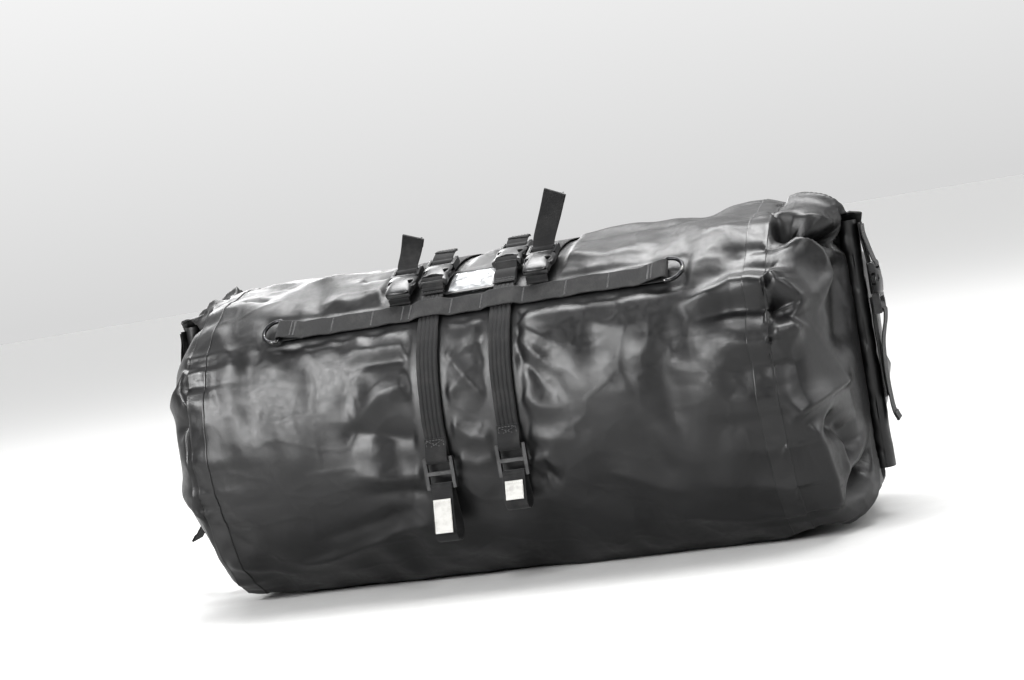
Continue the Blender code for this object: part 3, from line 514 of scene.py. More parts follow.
world = bpy.data.worlds.new("studio")
SCENE.world = world
world.use_nodes = True
nt = world.node_tree
wash = nt.nodes["Background"]
coord = nt.nodes.new("ShaderNodeTexCoord")
parts = nt.nodes.new("ShaderNodeSeparateXYZ")
ramp = nt.nodes.new("ShaderNodeValToRGB")
nt.links.new(coord.outputs["Generated"], parts.inputs[0])
turned = nt.nodes.new("ShaderNodeMath")
turned.operation = "MULTIPLY_ADD"
turned.inputs[1].default_value, turned.inputs[2].default_value = 0.5, 0.5
nt.links.new(parts.outputs["Y"], turned.inputs[0])
nt.links.new(turned.outputs[0], ramp.inputs["Fac"])
# the room behind the camera is dimmer than the pale sweep behind the bag
ramp.color_ramp.elements[0].position, ramp.color_ramp.elements[0].color = 0.22, (0.22, 0.22, 0.22, 1)
ramp.color_ramp.elements[1].position, ramp.color_ramp.elements[1].color = 0.75, (0.93, 0.93, 0.93, 1)
horizon = nt.nodes.new("ShaderNodeMapRange")
horizon.inputs["From Min"].default_value, horizon.inputs["From Max"].default_value = 0.0, 0.30
horizon.inputs["To Min"].default_value, horizon.inputs["To Max"].default_value = 0.63, 1.0
nt.links.new(parts.outputs["Z"], horizon.inputs["Value"])
nt.links.new(horizon.outputs["Result"], wash.inputs["Strength"])
nt.links.new(ramp.outputs["Color"], wash.inputs["Color"])


def softbox(name, at, look_at, wide, high, radiance):
    data = bpy.data.lights.new(name, "AREA")
    data.shape = "RECTANGLE"
    data.size, data.size_y = wide, high
    data.energy = radiance * wide * high * math.pi
    lamp = bpy.data.objects.new(name, data)
    SCENE.collection.objects.link(lamp)
    lamp.location = at
    lamp.rotation_euler = (Vector(look_at) - Vector(at)).to_track_quat("-Z", "Y").to_euler()
    return lamp


softbox("key", (-1.7, -2.3, 1.9), (0, 0, 0.2), 1.4, 0.6, 33.0)
softbox("low_key", (-1.2, -3.0, 1.0), (0, 0, 0.2), 1.6, 0.7, 16.0)
softbox("top", (0.2, 0.5, 2.7), (0, 0, 0.2), 3.2, 1.0, 13.0)
softbox("side", (2.0, -2.1, 1.6), (0.35, 0, 0.25), 0.8, 0.9, 18.0)
softbox("end", (2.7, 0.6, 1.1), (0.4, 0, 0.2), 0.9, 1.1, 5.0)
softbox("rear", (-1.6, 2.3, 1.5), (0, 0, 0.2), 1.2, 0.8, 7.0)


# ------------------------------------------------------------------ the stuffed shell
def simulate(points, rows, columns, held, frames=18, cap=0.012):
    """Cloth under pressure on the tube's own grid: the fabric is cut a little large, so it puckers where the straps,
    the daisy chains and the end seams hold it. Gives how far each point moved."""
    ends = [points[:columns].mean(0), points[-columns:].mean(0)]
    faces = list(map(tuple, grid_faces(rows, columns, True)))
    n = len(points)
    faces += [(n, (j + 1) % columns, j) for j in range(columns)]
    last = (rows - 1) * columns
    faces += [(n + 1, last + j, last + (j + 1) % columns) for j in range(columns)]
    soft = outward(make("shell_simulation", np.concatenate([points, ends]), faces))
    group = soft.vertex_groups.new(name="held")
    weights = np.concatenate([held, [1.0, 1.0]])
    for level in range(1, 21):
        chosen = np.nonzero((weights > (level - 0.5) / 20) & (weights <= (level + 0.5) / 20))[0]
        if len(chosen):
            group.add(chosen.tolist(), level / 20, "REPLACE")
    cloth = soft.modifiers.new("cloth", "CLOTH")
    s = cloth.settings
    s.quality = 5
    s.mass = 0.25
    s.tension_stiffness = s.compression_stiffness = 40
    s.shear_stiffness = 14
    s.bending_stiffness = 8.0
    s.tension_damping = s.compression_damping = s.shear_damping = 12
    s.air_damping = 3
    s.use_pressure = True
    s.uniform_pressure_force = 4.0
    s.effector_weights.gravity = 0.0
    s.vertex_group_mass = "held"
    s.pin_stiffness = 1.0
    s.shrink_min = -0.014
    cloth.collision_settings.use_collision = False
    cloth.point_cache.frame_start, cloth.point_cache.frame_end = 1, frames
    for f in range(1, frames + 1):
        SCENE.frame_set(f)
    graph = bpy.context.evaluated_depsgraph_get()
    got = soft.evaluated_get(graph)
    co = np.zeros(len(got.data.vertices) * 3)
    got.data.vertices.foreach_get("co", co)
    moved = co.reshape(-1, 3)[:n] - points
    SCENE.frame_set(1)
    bpy.data.objects.remove(soft, do_unlink=True)
    length = np.linalg.norm(moved, axis=1, keepdims=True)
    return moved * np.minimum(1.0, cap / np.maximum(length, 1e-9))


def strap_hold(x, q, wide=0.0155, soft=0.016):
    """1 under a strap or daisy chain and 0 in the open, over the strap's real run."""
    total = np.zeros_like(x)
    for c in BAND_X:
        run = smooth(q, -0.055, -0.030) * (1 - smooth(q, Q_BACK + 0.045, Q_BACK + 0.075))
        total = np.maximum(total, (1 - smooth(np.abs(x - c), wide, wide + soft)) * run)
    for c in SIDE_X:
        run = smooth(q, Q_DAISY, Q_DAISY + 0.012) * (1 - smooth(q, 2 * Q_RIDGE - Q_DAISY - 0.012, 2 * Q_RIDGE - Q_DAISY))
        total = np.maximum(total, (1 - smooth(np.abs(x - c), wide, wide + soft)) * run)
    for line in (Q_DAISY, 2 * Q_RIDGE - Q_DAISY):
        run = 1 - smooth(np.abs(x), DAISY_END + 0.014, DAISY_END + 0.03)
        total = np.maximum(total, (1 - smooth(np.abs(q - line), wide, wide + soft)) * run)
    pocket = (1 - smooth(np.abs(x + 0.0015), 0.028, 0.036)) * smooth(q, Q_DAISY, Q_DAISY + 0.01) * (1 - smooth(q, Q_DAISY + 0.075, Q_DAISY + 0.088))
    return np.maximum(total, pocket)


def tube_base(x, q):
    """The CAD tube at x and arc length q, with its outward normal."""
    t = angle_at(q)
    end = np.where(x > 0, TUBE_RIGHT, TUBE_LEFT)
    share = np.clip((np.abs(x) - FLAT_TO) / (end - FLAT_TO), 0, 1)
    y, z = section(t, HALF_DEPTH - 0.002 * share, RISE - 0.001 * share, FALL, END_LIFT * share)
    _, _, ny, nz = point_normal(t)
    flat = section(t)[1] <= 1e-6
    ny, nz = np.where(flat, 0.0, ny), np.where(flat, -1.0, nz)
    long = np.hypot(ny, nz)
    return np.stack([x, y, z], -1), np.stack([0 * x, ny / long, nz / long], -1)


# creases on the tube: points are (x, arc length up from the front line)
TUBE_FOLDS = [
    # puckers that run into the left strap
    ([(-0.165, 0.088), (-0.128, 0.096), (-0.095, 0.094), (-0.062, 0.092)], 0.0050, 0.011, 0.25, (0.5, 0.1), 0.2),
    ([(-0.150, 0.072), (-0.115, 0.078), (-0.066, 0.078)], -0.0032, 0.008, 0.4, (0.5, 0.1), 0.0),
    ([(-0.165, 0.000), (-0.130, 0.022), (-0.100, 0.042), (-0.064, 0.050)], 0.0056, 0.013, 0.35, (0.4, 0.1), 0.3),
    ([(-0.160, 0.012), (-0.126, 0.004), (-0.092, -0.006), (-0.062, -0.010)], -0.0052, 0.011, 0.55, (0.4, 0.1), 0.0),
    ([(-0.165, -0.045), (-0.130, -0.044), (-0.098, -0.050), (-0.064, -0.052)], 0.0050, 0.010, 0.4, (0.5, 0.1), 0.2),
    ([(-0.150, -0.064), (-0.110, -0.066), (-0.062, -0.072)], -0.0035, 0.008, 0.5, (0.5, 0.1), 0.0),
    # crossed facets between the straps
    ([(-0.027, 0.083), (-0.006, 0.056), (0.022, 0.020)], 0.0034, 0.009, 0.6, (0.15, 0.2), 0.0),
    ([(-0.028, 0.030), (-0.006, 0.046), (0.024, 0.070)], 0.0030, 0.009, 0.6, (0.15, 0.2), 0.0),
    ([(-0.027, 0.062), (0.000, 0.083), (0.024, 0.088)], -0.0026, 0.008, 0.5, (0.2, 0.2), 0.0),
    ([(-0.028, 0.004), (-0.004, -0.016), (0.024, -0.022)], 0.0030, 0.010, 0.5, (0.2, 0.2), 0.0),
    ([(-0.028, -0.036), (-0.002, -0.046), (0.024, -0.040)], 0.0028, 0.009, 0.5, (0.2, 0.2), 0.0),
    # folds that fan out on the right of the right strap
    ([(0.056, 0.103), (0.085, 0.080), (0.120, 0.058)], 0.0042, 0.009, 0.5, (0.1, 0.6), 0.2),
    ([(0.057, 0.084), (0.080, 0.062), (0.110, 0.032)], 0.0040, 0.010, 0.4, (0.1, 0.6), 0.2),
    ([(0.057, 0.066), (0.075, 0.046), (0.092, 0.018)], -0.0030, 0.008, 0.5, (0.1, 0.6), 0.0),
    ([(0.057, 0.020), (0.080, 0.006), (0.120, 0.002)], 0.0032, 0.010, 0.3, (0.1, 0.7), 0.0),
    ([(0.057, -0.020), (0.085, -0.030), (0.130, -0.028)], 0.0030, 0.010, 0.3, (0.1, 0.7), 0.0),
    ([(0.046, -0.066), (0.060, -0.050), (0.076, -0.047), (0.094, -0.068)], 0.0044, 0.007, 0.5, (0.3, 0.3), 0.2),
    ([(0.052, -0.078), (0.073, -0.064), (0.088, -0.080)], -0.0034, 0.007, 0.4, (0.3, 0.3), 0.0),
    # diagonals over the left end
    ([(-0.322, 0.176), (-0.296, 0.135), (-0.268, 0.083), (-0.250, 0.030)], 0.0038, 0.016, 0.2, (0.2, 0.6), 0.2),
    ([(-0.330, 0.100), (-0.300, 0.070), (-0.280, 0.010)], -0.0030, 0.014, 0.3, (0.1, 0.6), 0.0),
    ([(-0.333, 0.012), (-0.318, -0.020), (-0.296, -0.060), (-0.262, -0.098)], 0.0040, 0.015, 0.3, (0.1, 0.4), 0.2),
    ([(-0.333, -0.062), (-0.305, -0.098), (-0.268, -0.130)], -0.0034, 0.012, 0.4, (0.1, 0.4), 0.0),
    ([(-0.225, 0.060), (-0.205, 0.000), (-0.215, -0.060)], 0.0030, 0.022, 0.0, (0.4, 0.4), 0.3),
    ([(-0.263, -0.150), (-0.197, -0.140), (-0.130, -0.122), (-0.064, -0.104)], 0.0042, 0.010, 0.4, (0.2, 0.15), -0.3),
    ([(-0.230, -0.118), (-0.160, -0.104), (-0.066, -0.086)], -0.0028, 0.010, 0.3, (0.3, 0.2), 0.0),
    ([(-0.333, -0.130), (-0.290, -0.150), (-0.240, -0.168)], 0.0040, 0.011, 0.4, (0.1, 0.4), 0.2),
    # the big pinch at the right end, with the hollow over it
    ([(0.215, 0.090), (0.258, 0.094), (0.292, 0.108), (0.3268, 0.103)], 0.0090, 0.0140, 0.25, (0.5, 0.0), -0.2),
    ([(0.240, 0.076), (0.285, 0.080), (0.3268, 0.074)], -0.0105, 0.0115, 0.1, (0.5, 0.0), 0.0),
    ([(0.250, 0.048), (0.290, 0.046), (0.3268, 0.042)], 0.0070, 0.0140, 0.2, (0.5, 0.0), 0.0),
    ([(0.270, 0.010), (0.300, 0.014), (0.3268, 0.016)], -0.0045, 0.0120, 0.2, (0.5, 0.0), 0.0),
    ([(0.270, 0.150), (0.300, 0.142), (0.3268, 0.150)], -0.0040, 0.012, 0.4, (0.5, 0.0), 0.0),
    ([(0.235, 0.185), (0.280, 0.196), (0.3268, 0.222)], 0.0040, 0.014, 0.3, (0.5, 0.0), 0.0),
    ([(0.240, -0.030), (0.290, -0.045), (0.3268, -0.070)], -0.0040, 0.015, 0.3, (0.5, 0.0), 0.2),
    ([(0.220, -0.095), (0.280, -0.112), (0.3268, -0.120)], 0.0040, 0.014, 0.3, (0.5, 0.0), 0.0),
    ([(0.130, -0.070), (0.180, -0.092), (0.230, -0.118)], 0.0034, 0.013, 0.4, (0.3, 0.4), 0.3),
    ([(0.190, -0.140), (0.260, -0.152), (0.3268, -0.160)], 0.0030, 0.010, 0.4, (0.3, 0.0), 0.0),
    # long shallow creases on the open panel and the top
    ([(0.110, 0.098), (0.160, 0.080), (0.215, 0.074)], 0.0022, 0.016, 0.3, (0.4, 0.4), 0.0),
    ([(0.130, 0.030), (0.175, 0.046), (0.225, 0.040)], 0.0024, 0.020, 0.2, (0.4, 0.4), 0.2),
    ([(0.100, -0.030), (0.150, -0.012), (0.200, -0.022)], -0.0020, 0.020, 0.2, (0.4, 0.4), 0.0),
    ([(-0.200, 0.185), (-0.150, 0.172), (-0.102, 0.178)], 0.0036, 0.012, 0.4, (0.4, 0.1), 0.2),
    ([(-0.300, 0.214), (-0.280, 0.216), (-0.258, 0.208)], -0.0048, 0.007, 0.5, (0.3, 0.3), 0.0),
    ([(-0.150, 0.214), (-0.130, 0.222), (-0.108, 0.220)], -0.0046, 0.008, 0.5, (0.3, 0.2), 0.0),
    ([(-0.240, 0.236), (-0.180, 0.246), (-0.102, 0.240)], 0.0034, 0.012, 0.4, (0.4, 0.1), 0.0),
    ([(0.100, 0.196), (0.150, 0.184), (0.220, 0.196)], 0.0034, 0.013, 0.4, (0.1, 0.4), 0.0),
    ([(0.100, 0.236), (0.170, 0.246), (0.250, 0.236)], -0.0030, 0.012, 0.4, (0.1, 0.4), 0.0),
    ([(0.098, 0.262), (0.150, 0.272), (0.210, 0.262)], 0.0030, 0.012, 0.4, (0.1, 0.4), 0.0),
]


def back_folds():
    """Creases that nobody has seen, of the same kinds, for the back, the top and the underside."""
    found = []
    for k in range(40):
        r = [float(hashed(np.array([k]), np.array([m]), 71)[0]) for m in range(8)]
        strap = k % 2
        side = -1 if (k // 2) % 2 else 1
        x0 = (BAND_X[strap] if side < 0 and strap == 0 or side > 0 and strap == 1 else (0.0, 0.0)[strap]) + side * 0.018
        if abs(x0) < 0.03:
            side = 1 if strap == 0 else -1
            x0 = BAND_X[strap] + side * 0.017
            long = 0.045
        else:
            long = 0.05 + 0.07 * r[1]
        q0 = Q_RIDGE + 0.172 + 0.20 * r[0]
        lift = (r[2] - 0.5) * 0.09
        line = [(x0, q0), (x0 + side * long * 0.5, q0 + lift * 0.35), (x0 + side * long, q0 + lift)]
        found.append((line, (0.0042 if r[3] > 0.42 else -0.0036), 0.008 + 0.005 * r[4], 0.3 + 0.3 * r[5], (0.1, 0.6), 0.3 * (r[6] - 0.5)))
    for k in range(26):
        r = [float(hashed(np.array([k]), np.array([m]), 97)[0]) for m in range(8)]
        side = 1 if k % 2 else -1
        end = TUBE_RIGHT if side > 0 else TUBE_LEFT
        q0 = Q_RIDGE - 0.02 + 0.46 * (k / 26)
        long = 0.06 + 0.08 * r[1]
        lift = (r[2] - 0.5) * 0.08
        line = [(side * (end - 0.0002), q0), (side * (end - long * 0.5), q0 + lift * 0.3), (side * (end - long), q0 + lift)]
        found.append((line, (0.0048 if r[3] > 0.45 else -0.0042), 0.010 + 0.006 * r[4], 0.2 + 0.3 * r[5], (0.0, 0.6), 0.3 * (r[6] - 0.5)))
    return found


def wrinkles(x, q):
    """All the fine and medium unevenness of the stuffed fabric, as a height over the CAD surface."""
    away = 1 - strap_hold(x, q)
    seam = np.minimum(x + TUBE_LEFT, TUBE_RIGHT - x)
    open_area = away * smooth(seam, -0.004, 0.03)
    h = (layered(x / 0.12 + 3.1, q / 0.10, 11, 3) - 0.5) * 0.0095 * open_area
    h += (layered(x / 0.045 + 0.4 * np.sin(q / 0.05), q / 0.06, 23, 2) - 0.5) * 0.0022 * open_area
    warp = layered(x / 0.08, q / 0.08, 5, 2) * 1.4
    h += ridged(x / 0.060 + warp, q / 0.030 - warp, 31) ** 2 * 0.0005 * open_area
    h += ridged(x / 0.034 - warp, q / 0.052 + warp, 47) ** 2 * 0.0003 * open_area
    # small pleats below and above the daisy chains, between their bar tacks
    for line, way in ((Q_DAISY, -1), (Q_DAISY, 1), (2 * Q_RIDGE - Q_DAISY, -1), (2 * Q_RIDGE - Q_DAISY, 1)):
        d = (q - line) * way
        near = smooth(d, 0.011, 0.020) * np.exp(-np.maximum(d - 0.014, 0) / 0.026) * (1 - smooth(np.abs(x), 0.20, 0.24))
        h += near * (0.5 + 0.5 * np.cos(2 * math.pi * (x + 0.0025 * np.sin(d / 0.006)) / 0.0333 + way)) ** 2 * 0.0013
        h -= near * 0.0004
    # pleats all round beside the end seams
    for end, way in ((TUBE_RIGHT, 1), (-TUBE_LEFT, -1)):
        d = (end - x) * way
        near = np.exp(-np.maximum(d, 0) / 0.040)
        phase = q / 0.046 + 1.7 * layered(q / 0.07, x / 0.3, 61 + way, 2) + way
        h += near * (np.cos(2 * math.pi * phase) * 0.0015 + np.cos(2 * math.pi * phase * 2.3 + 1) * 0.0004)
    for line, height, width, crisp, ends, lean in TUBE_FOLDS + back_folds():
        h += fold(x, q, line, height, width, crisp, ends, lean)
    return h


def hold_down(h, x, q):
    """Keeps the shell under the straps, the buckles and the tape that lie on it."""
    held = strap_hold(x, q, 0.0150, 0.010)
    low = -0.0011 - 0.0004 * noise(x / 0.02, q / 0.02, 3)
    clip = np.zeros_like(x)
    for label, c in (("a", SIDE_X[0]), ("b", BAND_X[0]), ("c", BAND_X[1]), ("d", SIDE_X[1])):
        depth = {"a": 0.100, "b": 0.090, "c": 0.074, "d": 0.098}[label]
        q0 = float(arc_at(angle_of_depth(depth)))
        clip = np.maximum(clip, (1 - smooth(np.abs(x - c), 0.020, 0.030)) * (1 - smooth(np.abs(q - q0), 0.048, 0.062)))
    held = np.maximum(held, clip)
    return h * (1 - held) + low * held


def upsampled(field, rows, columns, x, q, x_low, x_high):
    """A coarse (rows, columns, 3) field that wraps in q, read at x and q with a smooth kernel."""
    fr = (x - x_low) / (x_high - x_low) * (rows - 1)
    fc = (q - Q_LOW) / (Q_HIGH - Q_LOW) * columns
    i, j = np.floor(fr).astype(int), np.floor(fc).astype(int)
    u, v = fr - i, fc - j

    def weights(t):
        return [((-0.5 * t + 1.0) * t - 0.5) * t, ((1.5 * t - 2.5) * t) * t + 1.0, ((-1.5 * t + 2.0) * t + 0.5) * t, ((0.5 * t - 0.5) * t) * t]

    wu, wv = weights(u), weights(v)
    out = np.zeros(x.shape + (3,))
    for a in range(4):
        ia = np.clip(i + a - 1, 0, rows - 1)
        for b in range(4):
            jb = (j + b - 1) % columns
            out += (wu[a] * wv[b])[..., None] * field[ia, jb]
    return out


X_LOW, X_HIGH = -TUBE_LEFT + 0.0002, TUBE_RIGHT - 0.0002
COARSE = (100, 168)


def coarse_shape():
    xs = np.linspace(X_LOW, X_HIGH, COARSE[0])
    qs = Q_LOW + (Q_HIGH - Q_LOW) * np.arange(COARSE[1]) / COARSE[1]
    x, q = np.meshgrid(xs, qs, indexing="ij")
    base, normal = tube_base(x, q)
    start = base - normal * 0.0035 + normal * ((layered(x / 0.05, q / 0.05, 201, 2) - 0.5) * 0.003)[..., None]
    held = strap_hold(x, q, 0.0125, 0.004)
    end = np.minimum(x - X_LOW, X_HIGH - x)
    held = np.maximum(held, 1 - smooth(end, 0.001, 0.006))
    held = np.maximum(held, (base[..., 2] < 0.0008) * 1.0)
    moved = simulate(start.reshape(-1, 3), COARSE[0], COARSE[1], held.reshape(-1))
    # coated fabric is stiff: the sharpest puckers relax into their neighbours
    cloth = moved.reshape(COARSE + (3,))
    for _ in range(3):
        cloth = (np.roll(cloth, 1, 1) + 2 * cloth + np.roll(cloth, -1, 1)) / 4
        cloth[1:-1] = (cloth[:-2] + 2 * cloth[1:-1] + cloth[2:]) / 4
    moved = cloth.reshape(-1, 3)
    return (start - base).reshape(COARSE + (3,)) + moved.reshape(COARSE + (3,)), moved


SIM, _moved = coarse_shape()
print("cloth moved the shell by up to", round(float(np.linalg.norm(_moved, axis=1).max()) * 1000, 2), "mm")


def shell_points(x, q):
    """The finished outer surface of the tube, with normals, for the shell and for whatever is laid on it."""
    base, normal = tube_base(x, q)
    h = wrinkles(x, q)
    soft = upsampled(SIM, COARSE[0], COARSE[1], x, q, X_LOW, X_HIGH)
    out = (soft * normal).sum(-1)
    slide = soft - out[..., None] * normal
    h = hold_down(h + out + 0.0012 * (1 - strap_hold(x, q)), x, q)
    h = np.clip(h, -0.016, 0.0105)
    held = strap_hold(x, q, 0.0150, 0.010)
    end = smooth(np.minimum(x - X_LOW, X_HIGH - x), 0.0, 0.02)
    points = base + normal * h[..., None] + slide * (0.6 * (1 - held) * end)[..., None]
    floor_z = np.where(base[..., 2] < 0.0008, 0.0, 0.0)
    points[..., 2] = np.maximum(points[..., 2], floor_z)
    return points, normal


def build_shell():
    rows, columns = 330, 480
    xs = np.linspace(X_LOW, X_HIGH, rows)
    qs = Q_LOW + (Q_HIGH - Q_LOW) * np.arange(columns) / columns
    x, q = np.meshgrid(xs, qs, indexing="ij")
    points, _ = shell_points(x, q)
    faces = list(map(tuple, grid_faces(rows, columns, True)))
    uv = np.stack([x, q], -1).reshape(-1, 2)
    ends = [points[0].mean(0) + [0.012, 0, 0], points[-1].mean(0) - [0.012, 0, 0]]
    n = rows * columns
    faces += [(n, (j + 1) % columns, j) for j in range(columns)]
    faces += [(n + 1, n - columns + j, n - columns + (j + 1) % columns) for j in range(columns)]
    flat = np.concatenate([points.reshape(-1, 3), ends])
    uv = np.concatenate([uv, [[X_LOW, 0], [X_HIGH, 0]]])
    face_array = faces
    loops_uv = []
    for f in face_array:
        rows_uv = [list(uv[v]) for v in f]
        if len(f) == 4 and max(a[1] for a in rows_uv) - min(a[1] for a in rows_uv) > 0.5:
            rows_uv = [[a[0], a[1] + (Q_HIGH - Q_LOW) if a[1] < 0.3 else a[1]] for a in rows_uv]
        loops_uv += rows_uv
    obj = make("bag_shell", flat, faces, np.array(loops_uv))
    dress(outward(obj), SHELL, "root", "shell", "bag_tube")
    return obj


shell = build_shell()

# ------------------------------------------------------------------ collars
# creases on a collar: points are (share of the way from the seam to the roll, section angle in degrees)
# with the angle scaled by 1/240 so that both run over about the same length
K = 1 / 330.0


BULGE = {1: DOME, -1: 0.034}


def collar_surface(sign, s, deg):
    """A collar's point at a share s from its seam to its roll and at an angle round the section."""
    start = TUBE_RIGHT if sign > 0 else TUBE_LEFT
    t = np.radians(deg)
    phi = s * math.pi / 2
    keep, out = np.cos(phi), np.sin(phi)
    half = COLLAR_TIP + (HALF_DEPTH - 0.002 - COLLAR_TIP) * keep
    top = ROLL_HIGH + (CENTRE_Z + RISE - 0.001 - ROLL_HIGH) * keep
    low = ROLL_LOW + (END_LIFT - ROLL_LOW) * keep
    centre = 0.187 + (CENTRE_Z - 0.187) * keep
    fall = (centre - low) + (FALL - (centre - low)) * keep
    c, si = np.cos(t), np.sin(t)
    y = -half * power(c)
    z = np.maximum(centre + np.where(si >= 0, top - centre, fall) * power(si), low)
    x = start + 0.0002 + BULGE[sign] * out + (0.0 if sign > 0 else 0.0165) * smooth(s, 0.55, 0.95)
    groove = (1 - smooth(np.abs(y), 0.0170, 0.0200)) * smooth(z, 0.03, 0.06) * (1 - smooth(z, 0.318, 0.345))
    x = x * (1 - groove) + (start + COLLAR_LONG - 0.0012) * groove
    return np.stack([sign * x, y, z], -1)


def collar_heights(sign, s, deg):
    """How far the collar's creases stand out of the plain dome, and how far its tucks are drawn in."""
    a, b = s * 0.105, deg * K
    h = (layered(s * 2.2 + 5 * sign, deg / 38.0, 301 + sign, 2) - 0.5) * 0.008
    h += (layered(s * 5 + 3, deg / 15.0, 331 + sign, 2) - 0.5) * 0.0016
    h += ridged(s * 3 + 2, deg / 26.0 + 3 * s, 307 + sign) ** 2 * 0.0006

    def line(points):
        return [(p * 0.105, d * K) for p, d in points]

    folds = [
        # the pinch that comes over from the tube: upper lobe, hollow, lower lobe
        ([(0.0, 35), (0.14, 31), (0.25, 25), (0.31, 18)], 0.0120, 0.0130, 0.2, (0.0, 0.35), 0.0),
        ([(-0.1, 24), (0.05, 23.5), (0.15, 22), (0.27, 18.5)], -0.0120, 0.0125, 0.1, (0.0, 0.25), 0.0),
        ([(0.0, 14), (0.12, 14.5), (0.22, 14.5), (0.31, 16.0)], 0.0110, 0.0110, 0.2, (0.0, 0.35), 0.0),
        ([(0.10, 5), (0.20, 9), (0.30, 16)], 0.0035, 0.0085, 0.4, (0.2, 0.1), 0.0),
        # the lit S-shaped panel edge and the flat wedge beside it
        ([(0.22, 54), (0.36, 49), (0.50, 44), (0.60, 33), (0.55, 23), (0.45, 17)], 0.0105, 0.0105, 0.65, (0.1, 0.4), -0.5),
        ([(0.72, 44), (0.78, 30), (0.76, 14), (0.72, 0)], -0.0110, 0.0130, 0.2, (0.2, 0.2), 0.0),
        # upper tucks beside the roll, with a crest under each and the ear between them
        ([(0.02, 73), (0.20, 64), (0.38, 58), (0.60, 55.5), (0.84, 54), (0.98, 55)], -0.0470, 0.0180, 0.0, (0.2, 0.15), 0.0),
        ([(0.16, 57), (0.34, 48.5), (0.60, 45.5), (0.90, 46)], 0.0055, 0.0055, 0.8, (0.3, 0.2), 0.0),
        ([(0.20, 74), (0.40, 70), (0.62, 66), (0.80, 63)], 0.0045, 0.0055, 0.5, (0.2, 0.3), 0.0),
        ([(0.10, 108), (0.30, 116), (0.55, 121), (0.80, 124), (0.96, 125)], -0.0360, 0.0175, 0.0, (0.25, 0.2), 0.0),
        ([(0.02, 88), (0.30, 87), (0.62, 83), (0.98, 80)], 0.0120, 0.0080, 0.85, (0.1, 0.0), 0.0),
        ([(0.10, 98), (0.40, 101), (0.75, 103)], 0.0060, 0.0070, 0.7, (0.3, 0.2), 0.0),
        # lower tucks
        ([(0.04, -11), (0.28, -8), (0.50, -6.5), (0.78, -6)], 0.0080, 0.0080, 0.75, (0.2, 0.2), 0.3),
        ([(0.38, -13), (0.50, -17), (0.62, -23), (0.66, -34)], -0.0200, 0.0110, 0.2, (0.2, 0.2), 0.0),
        ([(0.22, -11), (0.31, -20), (0.34, -34), (0.30, -50)], 0.0085, 0.0090, 0.7, (0.15, 0.2), 0.2),
        ([(0.58, -14), (0.52, -24), (0.46, -38)], 0.0050, 0.0050, 0.8, (0.3, 0.3), 0.0),
        ([(0.40, -40), (0.62, -44), (0.86, -46)], -0.0260, 0.0150, 0.1, (0.25, 0.2), 0.0),
        ([(0.10, -62), (0.36, -60), (0.66, -58), (0.92, -56)], 0.0050, 0.0070, 0.7, (0.25, 0.2), 0.0),
        ([(0.10, 240), (0.36, 238), (0.66, 236), (0.92, 234)], -0.0240, 0.0150, 0.1, (0.25, 0.2), 0.0),
        # the rear panel
        ([(0.50, 128), (0.58, 160), (0.60, 190), (0.55, 214)], 0.0150, 0.0320, 0.0, (0.25, 0.25), 0.0),
        ([(0.0, 150), (0.20, 156), (0.40, 162), (0.62, 168)], 0.0070, 0.0110, 0.6, (0.0, 0.4), 0.0),
        ([(0.0, 164), (0.18, 168), (0.34, 174)], -0.0120, 0.0090, 0.2, (0.0, 0.4), 0.0),
        ([(0.0, 196), (0.26, 192), (0.56, 188), (0.80, 186)], 0.0060, 0.0100, 0.6, (0.0, 0.3), 0.2),
        ([(0.22, 204), (0.44, 210), (0.60, 220)], -0.0130, 0.0110, 0.2, (0.2, 0.3), 0.0),
    ]
    for points, height, width, crisp, ends, lean in folds:
        if sign < 0:
            points = [(p, 180 - d if d <= 180 else 540 - d) for p, d in points]
            points = [(p, d - 360 if d > 270 else d) for p, d in points]
        for turn in (0, -360, 360):
            h = h + fold(a, b, line([(p, d + turn) for p, d in points]), height, width, crisp, ends, lean)
    return h


